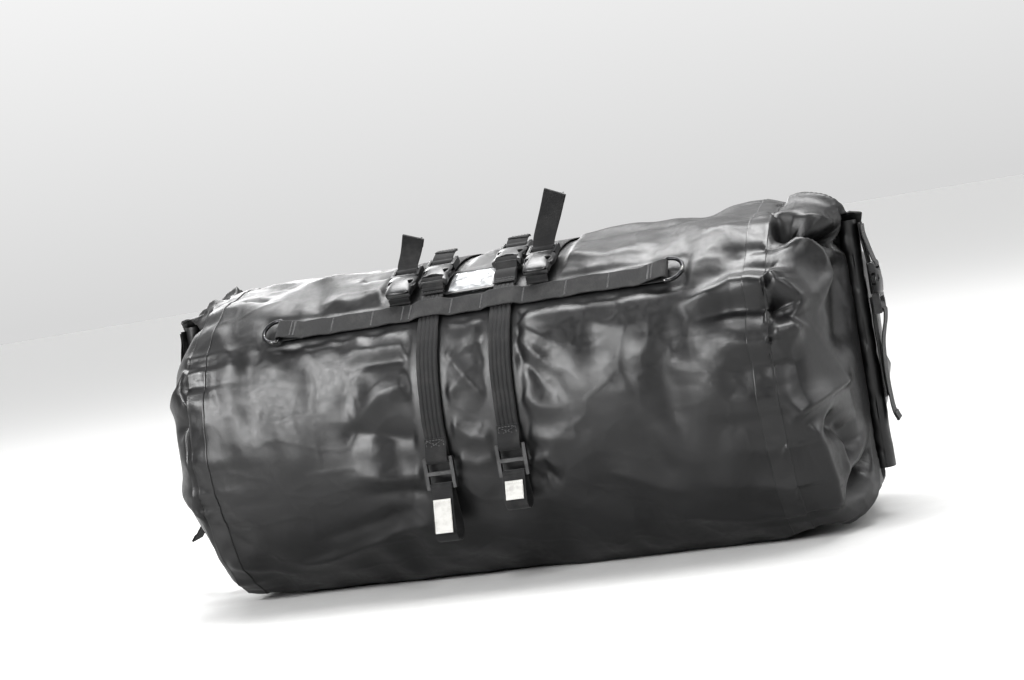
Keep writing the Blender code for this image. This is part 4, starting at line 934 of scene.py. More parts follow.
def build_collar(sign, label):
    rows, columns = 96, 480
    start = X_HIGH if sign > 0 else -X_LOW
    s = np.linspace(0, 1, rows)
    qs = Q_LOW + (Q_HIGH - Q_LOW) * np.arange(columns) / columns
    deg1 = np.degrees(angle_at(qs))
    ss, deg = np.meshgrid(s, deg1, indexing="ij")
    base = collar_surface(sign, ss, deg)
    du = np.gradient(base, axis=1)
    ds = np.gradient(base, axis=0)
    normal = np.cross(ds, du)
    normal /= np.linalg.norm(normal, axis=-1, keepdims=True) + 1e-12
    middle = np.array([sign * (start - 0.05), 0.0, 0.18])
    facing = np.sign(((base - middle) * normal).sum(-1))[..., None]
    normal = normal * np.where(facing == 0, 1, facing)
    # an average direction, so that the tight rim by the roll doesn't tangle
    smoothed = normal.copy()
    for _ in range(10):
        smoothed = (smoothed + np.roll(smoothed, 1, 1) + np.roll(smoothed, -1, 1)) / 3
        smoothed[1:-1] = (smoothed[:-2] + smoothed[1:-1] + smoothed[2:]) / 3
    normal = smoothed / (np.linalg.norm(smoothed, axis=-1, keepdims=True) + 1e-12)
    h = collar_heights(sign, ss, deg)
    room = smooth(ss, 0.0, 0.10) * (1 - 0.85 * smooth(ss, 0.84, 1.0))
    h = np.where(h > 0, h * room, h * smooth(ss, 0.0, 0.08) * (1 - smooth(ss, 0.88, 1.0)))
    points = base + normal * h[..., None]
    # meet the tube's own rim, wrinkles and all, at the seam
    rim, _ = shell_points(np.full(columns, start * sign), qs)
    plain = base[0]
    shift = rim - plain
    shift[:, 0] = 0
    fade = (1 - smooth(ss, 0.0, 0.38))[..., None]
    points = points + shift[None] * fade
    # the ear: the fabric's top edge folds over the end of the roll
    lobe = np.exp(-((deg - 90.0) / 14.0) ** 2) * smooth(ss, 0.50, 1.0)
    reach = (TUBE_RIGHT if sign > 0 else TUBE_LEFT) + 0.0840
    ahead = points[..., 0] * sign
    points[..., 0] = sign * (ahead + (reach - ahead) * lobe * smooth(ss, 0.55, 1.0))
    points[..., 2] += (np.maximum(points[..., 2], 0.3290 + 0.0035 * np.sin(deg / 9.0) + 0.010 * (1 - ss)) - points[..., 2]) * np.clip(lobe * 1.6, 0, 1)
    points[..., 1] += np.clip(lobe * 1.3, 0, 1) * 0.009 * np.sign(points[..., 1]) * smooth(np.abs(points[..., 1]), 0.0, 0.004)
    over_roll = (points[..., 0] * sign > (TUBE_RIGHT if sign > 0 else TUBE_LEFT) + COLLAR_LONG - 0.001) & (points[..., 2] > 0.300) & (np.abs(points[..., 1]) < 0.022)
    points[..., 2] = np.where(over_roll, np.maximum(points[..., 2], 0.3236), points[..., 2])
    # stay clear of the roll and its strap
    near_roll = (np.abs(points[..., 1]) < 0.0185) & (points[..., 2] > 0.045) & (points[..., 2] < 0.3230)
    limit = (TUBE_RIGHT if sign > 0 else TUBE_LEFT) + COLLAR_LONG - 0.0006
    px = points[..., 0] * sign
    px = np.where(near_roll, np.minimum(px, limit), px)
    points[..., 0] = px * sign
    points[..., 2] = np.maximum(points[..., 2], 0.0)
    run = np.concatenate([[0], np.cumsum(np.linalg.norm(np.diff(base[:, 240], axis=0), axis=1))])
    uv = np.stack([np.repeat(run[:, None], columns, 1), np.repeat(qs[None], rows, 0)], -1).reshape(-1, 2)
    faces = list(map(tuple, grid_faces(rows, columns, True)))
    loops_uv = []
    for f in faces:
        rows_uv = [list(uv[v]) for v in f]
        if max(a[1] for a in rows_uv) - min(a[1] for a in rows_uv) > 0.5:
            rows_uv = [[a[0], a[1] + (Q_HIGH - Q_LOW) if a[1] < 0.3 else a[1]] for a in rows_uv]
        loops_uv += rows_uv
    last = (rows - 1) * columns
    tip = points[-1].mean(0)
    tip[0] = sign * ((TUBE_RIGHT if sign > 0 else TUBE_LEFT) + COLLAR_LONG - 0.004)
    for j in range(columns):
        faces.append((rows * columns, last + j, last + (j + 1) % columns))
        loops_uv += [[0.0, 0.0], list(uv[last + j]), list(uv[last + (j + 1) % columns])]
    obj = make("collar_fabric_" + label, np.concatenate([points.reshape(-1, 3), [tip]]), faces, np.array(loops_uv))
    outward(obj)
    thick = obj.modifiers.new("ply", "SOLIDIFY")
    thick.thickness = 0.0009
    thick.offset = -1
    return dress(obj, COLLAR, "root", "collar", "end_collar_" + label)


for sign, label in ((1, "right"), (-1, "left")):
    build_collar(sign, label)


def build_seam_band(sign, label):
    """The welded tape: it follows the shell's wrinkles, with a raised edge bead and a pressed knurl."""
    start = TUBE_RIGHT if sign > 0 else TUBE_LEFT
    columns = 480
    qs = Q_LOW + (Q_HIGH - Q_LOW) * np.arange(columns) / columns
    profile = [(0.0210, -0.0004), (0.0208, 0.0004), (0.0202, 0.0007), (0.0190, 0.0006), (0.0150, 0.0005), (0.0110, 0.0006),
               (0.0070, 0.0005), (0.0040, 0.0006), (0.0022, 0.0006), (0.0010, 0.0005), (-0.0004, 0.0005), (-0.0014, 0.0004), (-0.0018, -0.0007)]
    rows_pts, rows_uv = [], []
    for back_by, height in profile:
        x = np.full(columns, sign * (start - back_by))
        past = x - np.clip(x, X_LOW, X_HIGH)
        p, n = shell_points(x - past, qs)
        p[:, 0] += past
        wave = 0.00035 * np.sin(qs / 0.0042) * (0.004 < back_by < 0.018)
        rows_pts.append(p + n * (height + 0.00035 + wave)[:, None] if isinstance(wave, np.ndarray) else p + n * (height + 0.00035))
        rows_uv.append(np.stack([np.full(columns, back_by), qs], -1))
    points = np.stack(rows_pts)
    points[..., 2] = np.maximum(points[..., 2], 0.0)
    faces = list(map(tuple, grid_faces(len(profile), columns, True)))
    obj = make("seam_tape_" + label, points.reshape(-1, 3), faces, np.stack(rows_uv).reshape(-1, 2))
    outward(obj)
    return dress(obj, SEAM, "root", "seam_tape", "seam_band_" + label)


for sign, label in ((1, "right"), (-1, "left")):
    build_seam_band(sign, label)


def build_roll(sign, label):
    """The mouth rolled twice round its board, with the soft dents and edges of rolled coated fabric."""
    count, levels = 150, 130
    turn = np.linspace(0, ROLL_TURNS, count)
    angle = math.pi + 2 * math.pi * turn
    zs = np.linspace(ROLL_LOW, ROLL_HIGH, levels)
    layers = []
    for side in (-1, 1):
        rad = ROLL_START + ROLL_PITCH * turn
        x = rad * np.cos(angle) * ROLL_SQUASH
        y = rad * np.sin(angle)
        nx, ny = np.cos(angle) / ROLL_SQUASH, np.sin(angle)
        long = np.hypot(nx, ny)
        layers.append((x + side * ROLL_PLY / 2 * nx / long, y + side * ROLL_PLY / 2 * ny / long, nx / long, ny / long))
    outline = [np.concatenate([layers[1][k], layers[0][k][::-1]]) for k in range(4)]
    around = np.concatenate([[0], np.cumsum(np.hypot(np.diff(outline[0]), np.diff(outline[1])))])
    n = len(outline[0])
    z, k = np.meshgrid(zs, np.arange(n), indexing="ij")
    ox, oy, nx, ny = (o[k] for o in outline)
    outer = np.concatenate([smooth(turn, ROLL_TURNS - 1.05, ROLL_TURNS - 0.9), np.zeros(count)])[k]
    dent = (layered(z / 0.030 + 7 * sign, around[k] / 0.03, 401 + sign, 3) - 0.62) * 0.0058 * outer
    dent = dent - ridged(z / 0.045 + around[k] / 0.05, around[k] / 0.09, 411 + sign) ** 2 * 0.0009 * outer
    strap_side = (np.abs(oy) < 0.0135) & (ox > 0)
    dent = np.where(strap_side, np.minimum(dent, 0.0) * 0.4 - 0.0002, dent)
    dent = np.clip(dent, -0.0030, 0.0) * (0.3 + 0.7 * smooth(np.minimum(z - ROLL_LOW, ROLL_HIGH - z), 0.0, 0.015))
    x = sign * (ox + nx * dent) + ROLL_X[sign]
    y = oy + ny * dent
    sway = 0.0006 * np.sin(z / 0.05 + sign)
    points = np.stack([x, y + sway, z], -1).reshape(-1, 3)
    faces = list(map(tuple, grid_faces(levels, n, True)))
    for base_row in (0, levels - 1):
        offset = base_row * n
        faces += [(offset + i, offset + i + 1, offset + 2 * count - 2 - i, offset + 2 * count - 1 - i) for i in range(count - 1)]
    uv = np.stack([z, around[k]], -1).reshape(-1, 2)
    obj = outward(make("rolled_mouth_" + label, points, faces, uv))
    obj.data.set_sharp_from_angle(angle=math.radians(50))
    return dress(obj, COLLAR, "root", "collar", "closure_roll_" + label)


for sign, label in ((1, "right"), (-1, "left")):
    build_roll(sign, label)
    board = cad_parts["mouth_stiffener_" + label]
    board.data.materials.clear()
    board.data.materials.append(BOARD)


# ------------------------------------------------------------------ webbing
def rounded(points, step=0.0020):
    """A smooth polyline through points, with even steps."""
    p = np.array(points, float)
    if len(p) > 2:
        ext = np.concatenate([[2 * p[0] - p[1]], p, [2 * p[-1] - p[-2]]])
        dense = []
        for i in range(1, len(ext) - 2):
            a, b, c, d = ext[i - 1:i + 3]
            for t in np.linspace(0, 1, 12, endpoint=False):
                dense.append(0.5 * ((2 * b) + (c - a) * t + (2 * a - 5 * b + 4 * c - d) * t * t + (3 * b - a - 3 * c + d) * t ** 3))
        dense.append(p[-1])
        p = np.array(dense)
    run = np.concatenate([[0], np.cumsum(np.linalg.norm(np.diff(p, axis=0), axis=1))])
    count = max(2, int(run[-1] / step) + 1)
    at = np.linspace(0, run[-1], count)
    return np.stack([np.interp(at, run, p[:, k]) for k in range(p.shape[1])], -1)


def arc(cx, cy, radius, start, end, steps=10):
    return [(cx + radius * math.cos(math.radians(start + (end - start) * i / steps)),
             cy + radius * math.sin(math.radians(start + (end - start) * i / steps))) for i in range(steps + 1)]


SELVEDGE = [(-1.0, 0.0), (-0.985, 0.55), (-0.95, 0.86), (-0.90, 0.97), (-0.80, 0.90), (-0.55, 1.0), (-0.28, 0.95), (0.0, 1.0), (0.28, 0.95), (0.55, 1.0),
            (0.80, 0.90), (0.90, 0.97), (0.95, 0.86), (0.985, 0.55), (1.0, 0.0)]
RIBS = [(-1.0, 0.0), (-0.99, 0.42)] + [
    (-0.98 + 1.96 * (i + f) / 5, h) for i in range(5) for f, h in ((0.04, 0.55), (0.14, 0.86), (0.32, 0.99), (0.5, 1.0), (0.68, 0.99), (0.86, 0.86), (0.96, 0.55))
] + [(0.99, 0.42), (1.0, 0.0)]


def strip(name, path, wide, thick, across_dir, look, body, slot, nodes=(), profile=SELVEDGE, wobble=0.0002, closed=False, seed=0, uv_from=0.0):
    """A strap with a real cross-section along a path of 3-D points: across_dir is its width's direction."""
    p = np.array(path, float)
    n = len(p)
    if closed:
        tangent = np.roll(p, -1, 0) - np.roll(p, 1, 0)
    else:
        tangent = np.gradient(p, axis=0)
    tangent /= np.linalg.norm(tangent, axis=1, keepdims=True) + 1e-12
    w = np.array(across_dir, float)
    w = np.repeat(w[None], n, 0) if w.ndim == 1 else w
    w = w - (w * tangent).sum(1, keepdims=True) * tangent
    w /= np.linalg.norm(w, axis=1, keepdims=True)
    up_dir = np.cross(w, tangent)
    run = np.concatenate([[0], np.cumsum(np.linalg.norm(np.diff(p, axis=0), axis=1))])
    ring_pts = [(a, h) for a, h in profile] + [(a, -h) for a, h in reversed(profile[1:-1])]
    m = len(ring_pts)
    girth = np.concatenate([[0], np.cumsum([math.hypot((ring_pts[i + 1][0] - ring_pts[i][0]) * wide / 2, (ring_pts[i + 1][1] - ring_pts[i][1]) * thick / 2) for i in range(m - 1)])])
    sway = wobble * (layered(run / 0.02, run * 0 + seed, 501 + seed, 2) - 0.5) * 2
    cup = wobble * 0.8 * (layered(run / 0.014, run * 0 + seed + 9, 511 + seed, 2) - 0.5)
    rows = []
    for k, (a, h) in enumerate(ring_pts):
        rows.append(p + w * (a * wide / 2 + sway)[:, None] + up_dir * (h * thick / 2 + cup * (a * a))[:, None])
    points = np.stack(rows, 1).reshape(-1, 3)
    uv = np.stack([np.repeat((run + uv_from)[:, None], m, 1), np.repeat(girth[None], n, 0)], -1).reshape(-1, 2)
    faces = list(map(tuple, grid_faces(n, m, True)))
    if closed:
        last = (n - 1) * m
        faces += [(last + j, last + (j + 1) % m, (j + 1) % m, j) for j in range(m)]
    else:
        faces.append(tuple(reversed(range(m))))
        faces.append(tuple(range((n - 1) * m, n * m)))
    obj = outward(make(name, points, faces, uv))
    obj.data.set_sharp_from_angle(angle=math.radians(58))
    return dress(obj, look, body, slot, *nodes)


def in_yz(points, x):
    return [(x, y, z) for y, z in points]


def stitches(name, runs, body, slot, look, across=0.00045, long=0.0026, gap=0.0009, tall=0.00028):
    """Thread along each run: (points, normals) with every stitch a small rounded bar that dips in at its ends."""
    points, faces = [], []
    for line, normals in runs:
        line, normals = np.array(line, float), np.array(normals, float)
        run = np.concatenate([[0], np.cumsum(np.linalg.norm(np.diff(line, axis=0), axis=1))])
        count = int(run[-1] / (long + gap))
        for i in range(count):
            a, b = i * (long + gap) + gap / 2, i * (long + gap) + gap / 2 + long
            at = np.linspace(a, b, 5)
            c = np.stack([np.interp(at, run, line[:, k]) for k in range(3)], -1)
            n = np.stack([np.interp(at, run, normals[:, k]) for k in range(3)], -1)
            n /= np.linalg.norm(n, axis=1, keepdims=True)
            t = c[-1] - c[0]
            t /= np.linalg.norm(t) + 1e-12
            w = np.cross(n, t)
            lift = np.array([-0.25, 0.7, 1.0, 0.7, -0.25]) * tall
            fat = np.array([0.35, 0.9, 1.0, 0.9, 0.35]) * across
            first = len(points)
            for j in range(5):
                o = c[j] + n[j] * lift[j]
                for ca, cb in ((1, 0), (0.5, 0.8), (-0.5, 0.8), (-1, 0), (-0.5, -0.8), (0.5, -0.8)):
                    points.append(o + w[j] * ca * fat[j] + n[j] * cb * fat[j] * 0.6)
            for j in range(4):
                for m in range(6):
                    faces.append((first + j * 6 + m, first + j * 6 + (m + 1) % 6, first + (j + 1) * 6 + (m + 1) % 6, first + (j + 1) * 6 + m))
            faces.append(tuple(first + m for m in reversed(range(6))))
            faces.append(tuple(first + 24 + m for m in range(6)))
    obj = outward(make(name, points, faces))
    return dress(obj, look, body, slot)


def bar_tack(centre, along, across_dir, normal, wide=0.020, turns=13, half=0.0014):
    """A dense zigzag of thread across a strap, as one run for stitches()."""
    c, a, w, n = (np.array(v, float) for v in (centre, along, across_dir, normal))
    line, normals = [], []
    for i in range(turns * 2 + 1):
        line.append(c + w * (-wide / 2 + wide * i / (turns * 2)) + a * (half if i % 2 else -half))
        normals.append(n)
    return line, normals


# --- daisy chains
def daisy_height(x, strap_thick):
    best = 0.0
    for centre in BAND_X:
        best = max(best, 1.0 - max(0.0, abs(x - centre) - (WEB / 2 + 0.0012)) / 0.009)
    return GAP + DAISY_PLY / 2 + (GAP + strap_thick) * max(0.0, best)


TACKS = [-0.205, -0.160, -0.112, -0.076, -0.067, -0.019, 0.016, 0.064, 0.112, 0.160, 0.205]


def build_daisy(label, is_back, strap_thick):
    _, _, ny, nz = (float(v) for v in point_normal(DAISY_T))
    y, z = over(DAISY_T, 0.0)
    if is_back:
        y, ny = -y, -ny
    out = np.array([0, ny, nz])
    x_dir = np.array([1.0, 0, 0])
    third = np.cross(x_dir, out)
    origin = np.array([0, y, z])

    def at(x, h):
        return origin + x_dir * x + out * h

    xs = np.arange(-DAISY_END + 0.010, DAISY_END - 0.0099, 0.0020)
    heights = []
    for x in xs:
        h = daisy_height(x, strap_thick)
        near = min(abs(x - t) for t in TACKS)
        free = float(smooth(np.array(near), 0.003, 0.016))
        hump = (h - GAP - DAISY_PLY / 2) / (GAP + strap_thick)
        h += 0.0012 * free * (1 - hump) * (0.7 + 0.5 * math.sin(x * 61 + (2 if is_back else 0)))
        heights.append(h)
    # the end folds round the ring's bar: out on top, back beneath
    bar = 0.0050
    for end in (-1, 1):
        pass
    left = [(-DAISY_END + 0.0005 + 0.0038 * math.cos(math.radians(a)) * 1.0, bar + 0.0038 * math.sin(math.radians(a))) for a in range(-80, -275, -20)]
    top_left = [(-DAISY_END + 0.006, 0.0078), (-DAISY_END + 0.012, 0.0060), (-DAISY_END + 0.020, 0.0042)]
    under = [(-DAISY_END + 0.030, 0.0013), (-DAISY_END + 0.018, 0.0013), (-DAISY_END + 0.008, 0.0013)]
    run = [(x, h) for x, h in zip(xs, heights) if abs(x) < DAISY_END - 0.026]
    path2 = under + left + top_left + run + [(-px, h) for px, h in reversed(top_left)] + [(-px, h) for px, h in reversed(left)] + [(-px, h) for px, h in reversed(under)]
    path2 = rounded(path2, 0.0016)
    path = [at(px, h) for px, h in path2]
    strip("daisy_webbing_" + label, path, WEB, DAISY_PLY * 0.80, third, WEBBING, "root", "webbing", ["daisy_chain_" + label], wobble=0.0006, seed=11 if is_back else 3)
    # bar tacks, and the stitching on the doubled ends
    runs = []
    line = np.array([p for p in path2 if True])
    middle = line[(np.arange(len(line)) > 25) & (np.arange(len(line)) < len(line) - 25)]
    order = np.argsort(middle[:, 0])
    for t in TACKS:
        h = float(np.interp(t, middle[order, 0], middle[order, 1])) + DAISY_PLY * 0.42
        runs.append(bar_tack(at(t, h), x_dir, third, out, 0.021, 15, 0.0012))
    for end in (-1, 1):
        for off in (0.0135, 0.0175):
            t = end * (DAISY_END - off)
            h = float(np.interp(t, middle[order, 0], middle[order, 1])) + DAISY_PLY * 0.42
            runs.append(bar_tack(at(t, h), x_dir, third, out, 0.021, 15, 0.0012))
    stitches("daisy_bartacks_" + label, runs, "root", "webbing", THREAD, 0.00030, 0.0022, 0.0003, 0.00025)

    # the rings
    for side, end in (("left", -1), ("right", 1)):
        centre = at(end * DAISY_END, bar)
        points = []
        for i in range(7):
            points.append((0.0, -RING_HALF + 0.0035 + i * (2 * RING_HALF - 0.0070) / 6))
        points += [(0.0006, RING_HALF - 0.0016), (0.0020, RING_HALF - 0.0004), (0.0036, RING_HALF)]
        bow = RING_DEPTH - 0.0035
        for i in range(1, 26):
            a = math.pi / 2 - math.pi * i / 26
            points.append((0.0040 + bow * math.cos(a), RING_HALF * math.sin(a)))
        points += [(0.0036, -RING_HALF), (0.0020, -RING_HALF + 0.0004), (0.0006, -RING_HALF + 0.0016)]
        curve = bpy.data.curves.new("d_wire_%s_%s" % (label, side), "CURVE")
        curve.dimensions = "3D"
        curve.bevel_depth = RING_WIRE * 0.98
        curve.bevel_resolution = 6
        spline = curve.splines.new("NURBS")
        spline.points.add(len(points) - 1)
        for point, (a, b) in zip(spline.points, points):
            q = centre + x_dir * end * a + np.cross(out, x_dir * end) * b
            point.co = (*q, 1.0)
        spline.use_cyclic_u = True
        spline.order_u = 4
        spline.resolution_u = 3
        source = bpy.data.objects.new("d_wire_%s_%s" % (label, side), curve)
        SCENE.collection.objects.link(source)
        bpy.context.view_layer.update()
        mesh = bpy.data.meshes.new_from_object(source.evaluated_get(bpy.context.evaluated_depsgraph_get()))
        bpy.data.objects.remove(source, do_unlink=True)
        ring_obj = bpy.data.objects.new("d_wire_%s_%s" % (label, side), mesh)
        SCENE.collection.objects.link(ring_obj)
        mesh.shade_smooth()
        node = "d_ring_%s_%s" % (label, side)
        dress(outward(ring_obj), WIRE, node, "ring", node)


build_daisy("front", False, BAND_THICK)
build_daisy("rear", True, PLY)


# --- buckles: where each stands
def axes(x, y, z, origin):
    m = Matrix((x, y, z)).transposed().to_4x4()
    m.translation = Vector(origin)
    return m


def top_frame(x, depth):
    t = angle_of_depth(depth)
    _, _, ny, nz = (float(v) for v in point_normal(t))
    out = Vector((0, ny, nz))
    down = Vector((0, -nz, ny))
    if down.y > 0:
        down = -down
    y, z = over(t, CLIP_HEIGHT)
    return axes(tuple(down.cross(out)), tuple(down), tuple(out), (x, y, z)), t


def end_frame(sign):
    out, rise = Vector((sign, 0, 0)), Vector((0, 0, 1))
    return axes(tuple(rise.cross(out)), tuple(rise), tuple(out), (ROLL_X[sign] + sign * (ROLL_FACE + 0.0082), 0, 0.240))


CLIP_DEPTH = {"a": 0.100, "b": 0.090, "c": 0.074, "d": 0.098}
CLIP_X = {"a": SIDE_X[0], "b": BAND_X[0], "c": BAND_X[1], "d": SIDE_X[1]}


def standing(long, lean, curl):
    c, s = math.cos(math.radians(lean)), math.sin(math.radians(lean))
    foot = (-0.0205, 0.0066)
    points = []
    for i in range(9):
        k = 1 - i / 8
        bend = curl * math.sin(math.pi * k)
        points.append((foot[0] - c * long * k - s * bend, foot[1] + s * long * k - c * bend))
    return points


def lying(long, rise=0.0052):
    return [(-0.0190 - long * (1 - i / 4), rise + 0.0016 * math.sin(math.pi * i / 4)) for i in range(5)]


ROUTES = {
    "top_a": standing(0.030, 62, 0.004), "top_b": lying(0.016), "top_c": lying(0.012), "top_d": standing(0.052, 72, 0.004),
    "end_right": [(-0.139, 0.0010), (-0.128, -0.0026), (-0.105, -0.0042), (-0.080, -0.0040), (-0.056, -0.0024), (-0.040, 0.0012), (-0.030, 0.0040), (-0.0190, 0.0056)],
    "end_left": [(-0.176, 0.036), (-0.165, 0.026), (-0.154, 0.0165), (-0.143, 0.0095)] + [(-0.131, 0.0040), (-0.110, -0.0020), (-0.085, -0.0040), (-0.060, -0.0028), (-0.042, 0.0010), (-0.030, 0.0040), (-0.0190, 0.0056)],
}
FRAMES = {}
for label in "abcd":
    FRAMES["top_" + label] = top_frame(CLIP_X[label], CLIP_DEPTH[label])
FRAMES["end_right"] = (end_frame(1), None)
FRAMES["end_left"] = (end_frame(-1), None)


def build_tail(label):
    """The loose tail: over the male half's bar, round it and back out beneath, with a folded and sewn hem."""
    matrix, _ = FRAMES[label]
    route = [p for p in ROUTES[label] if p[0] < -0.0180]
    middle = 0.0040
    wrap = arc(BAR_MALE, 0.0, middle, 118, -150, 14)
    inner = [(BAR_MALE - 0.0060, -0.0034)]
    path2 = rounded(route + wrap[0:] + inner, 0.0015)
    lean = {"top_a": 0.40, "top_d": 0.46, "top_b": 0.12, "top_c": 0.10, "end_right": 0.05, "end_left": -0.10}[label]
    run = np.array([math.hypot(path2[i + 1][0] - path2[i][0], path2[i + 1][1] - path2[i][1]) for i in range(len(path2) - 1)])
    from_bar = np.concatenate([np.cumsum(run[::-1])[::-1], [0.0]]) - (run.sum() - float(np.hypot(*np.diff(np.array(route), axis=0).T).sum()))
    way = 1.0 if matrix.col[0][0] > 0 or label.startswith("end") else -1.0
    drift = way * lean * np.maximum(from_bar, 0.0) ** 1.15 / 0.05 ** 0.15
    path = [matrix @ Vector((float(d), a, h)) for (a, h), d in zip(path2, drift)]
    w = tuple(matrix.to_3x3() @ Vector((1, 0, 0)))
    body = "clip_" + label
    strip("loose_tail_" + label, path, WEB * 0.985, PLY * 0.85, w, WEBBING, body, "webbing", ["strap_tail_" + label], wobble=0.0004, seed=len(label) + ord(label[-1]))
    # the hem: the end folded over once and sewn down
    start = np.array([list(p) for p in path[:7]])
    step = start[1] - start[0]
    normal = np.cross(step, np.array(w))
    normal /= np.linalg.norm(normal)
    if label.startswith("top"):
        if normal @ np.array(matrix.to_3x3() @ Vector((0, -0.3, 1))) < 0:
            normal = -normal
    elif normal @ np.array(matrix.to_3x3() @ Vector((0, 0, 1))) < 0:
        normal = -normal
    hem = start + normal * PLY * 0.86
    strip("tail_hem_" + label, hem, WEB * 0.985, PLY * 0.80, w, WEBBING, body, "webbing", wobble=0.0001, seed=5)
    runs = []
    for i in (2, 5):
        for shift in (0,):
            c = hem[i] + normal * PLY * 0.42
            line = [c + np.array(w) * (-0.0115 + 0.023 * k / 12) for k in range(13)]
            runs.append((line, [normal] * 13))
    stitches("hem_thread_" + label, runs, body, "webbing", THREAD)


for label in ROUTES:
    build_tail(label)

# --- stretch straps, front
for i, label in ((0, "top_b"), (1, "top_c")):
    x = BAND_X[i]
    matrix, t_clip = FRAMES[label]
    eye = matrix @ Vector((0, BAR_FEMALE, 0.0))
    hem = DAISY_T + math.radians(7.2)
    # the sewn end: two layers of webbing round the buckle's bar, closed over the end of the elastic
    t_eye = angle_of_depth(-eye.y * 0.985)
    top = [over(hem, 0.0047), over(hem + math.radians(2.2), 0.0047), over(hem + (t_eye - hem) * 0.6, 0.0075)]
    low = [over(hem, 0.0012), over(hem + math.radians(2.2), 0.0012), over(hem + (t_eye - hem) * 0.6, 0.0040)]
    inward = math.degrees(math.atan2(float(matrix.col[1][2]), float(matrix.col[1][1])))
    wrap = [(eye.y + 0.0040 * math.cos(math.radians(inward + a)), eye.z + 0.0040 * math.sin(math.radians(inward + a))) for a in range(-70, -291, -20)]
    # which way round: from the outer layer over the bar to the inner one
    outer_first = [(eye.y + 0.0040 * math.cos(math.radians(inward + a)), eye.z + 0.0040 * math.sin(math.radians(inward + a))) for a in range(-100, -261, -20)]
    alt = [(eye.y + 0.0040 * math.cos(math.radians(inward + a)), eye.z + 0.0040 * math.sin(math.radians(inward + a))) for a in range(100, 261, 20)]
    d_first = math.hypot(outer_first[0][0] - top[-1][0], outer_first[0][1] - top[-1][1])
    d_alt = math.hypot(alt[0][0] - top[-1][0], alt[0][1] - top[-1][1])
    loop = outer_first if d_first < d_alt else alt
    path2 = rounded(top + loop + list(reversed(low)), 0.0015)
    strip("sewn_end_%d" % (i + 1), in_yz(path2, x), WEB, PLY * 0.85, (1, 0, 0), WEBBING, "root", "webbing", ["band_end_top_%d" % (i + 1)], wobble=0.0002, seed=21 + i)
    # ribbed elastic down the front
    ts = np.radians(np.arange(4.0, math.degrees(hem) - 0.1, 1.0))[::-1]
    run = [over(float(t), GAP + BAND_THICK / 2) for t in ts]
    bottom = LOCK_TOP[i] + 0.0215
    run.append((FRONT_Y, run[-1][1] - 0.004))
    run.append((FRONT_Y, bottom))
    strip("ribbed_band_%d" % (i + 1), in_yz(rounded(run, 0.0025), x), 0.0240, BAND_THICK * 0.96, (1, 0, 0), ELASTIC, "root", "elastic", ["stretch_band_%d" % (i + 1)], RIBS, 0.0003, seed=31 + i)
    # the sleeve round the ladder lock's upper bar
    bar = (FRONT_Y - 0.0026, LOCK_TOP[i])
    front = [(FRONT_Y - 0.0024, bottom + 0.0010), (FRONT_Y - 0.0026, bottom - 0.006), (bar[0] - 0.0037, bar[1] + 0.0060)]
    rear = [(FRONT_Y + 0.0012, bottom + 0.0002), (FRONT_Y + 0.0008, bottom - 0.008), (bar[0] + 0.0035, bar[1] + 0.0050)]
    wrap = [(bar[0] + 0.0040 * math.cos(math.radians(a)), bar[1] + 0.0040 * math.sin(math.radians(a))) for a in range(170, 371, 20)]
    path2 = rounded(front + wrap + list(reversed(rear)), 0.0015)
    strip("lock_sleeve_%d" % (i + 1), in_yz(path2, x), WEB, PLY * 0.85, (1, 0, 0), WEBBING, "root", "webbing", ["band_end_low_%d" % (i + 1)], wobble=0.0002, seed=41 + i)
    # box stitch on the sleeve and rows on the sewn end
    runs = []
    n = np.array([0, -1.0, 0])
    yf = FRONT_Y - 0.0026 - PLY * 0.45
    for dx in (-0.0098, 0.0098):
        runs.append(([(x + dx, yf, bottom - 0.0010), (x + dx, yf - 0.0002, bottom - 0.0100)], [n, n]))
    for dz in (0.0010, 0.0100):
        runs.append(([(x - 0.0098, yf - 0.0001, bottom - dz), (x + 0.0098, yf - 0.0001, bottom - dz)], [n, n]))
    runs.append(([(x - 0.0098, yf - 0.0001, bottom - 0.0010), (x + 0.0098, yf - 0.0002, bottom - 0.0100)], [n, n]))
    runs.append(([(x + 0.0098, yf - 0.0001, bottom - 0.0010), (x - 0.0098, yf - 0.0002, bottom - 0.0100)], [n, n]))
    _, _, ny, nz = (float(v) for v in point_normal(hem))
    n = np.array([0, ny, nz])
    for off in (0.9, 2.0):
        y, z = over(hem + math.radians(off), 0.0047 + PLY * 0.44)
        runs.append(([(x - 0.0105, y, z), (x + 0.0105, y, z)], [n, n]))
    stitches("sewn_thread_%d" % (i + 1), runs, "root", "webbing", THREAD)

    # the anchor loop through the ladder lock's lower bar
    hinge = (bar[0], bar[1] - 0.0300)
    big = 0.0140 if i == 0 else 0.0115
    far_by = hinge[1] - LOOP_LOW[i] - big
    lean = math.asin((big - 0.0040) / far_by)
    small = [(hinge[0] + 0.0040 * math.cos(a), hinge[1] + 0.0040 * math.sin(a)) for a in np.linspace(math.pi - lean, lean, 9)]
    large = [(hinge[0] + (big - 0.0009) * math.cos(a), hinge[1] - far_by + (big - 0.0009) * math.sin(a)) for a in np.linspace(lean, -math.pi - lean, 19)]
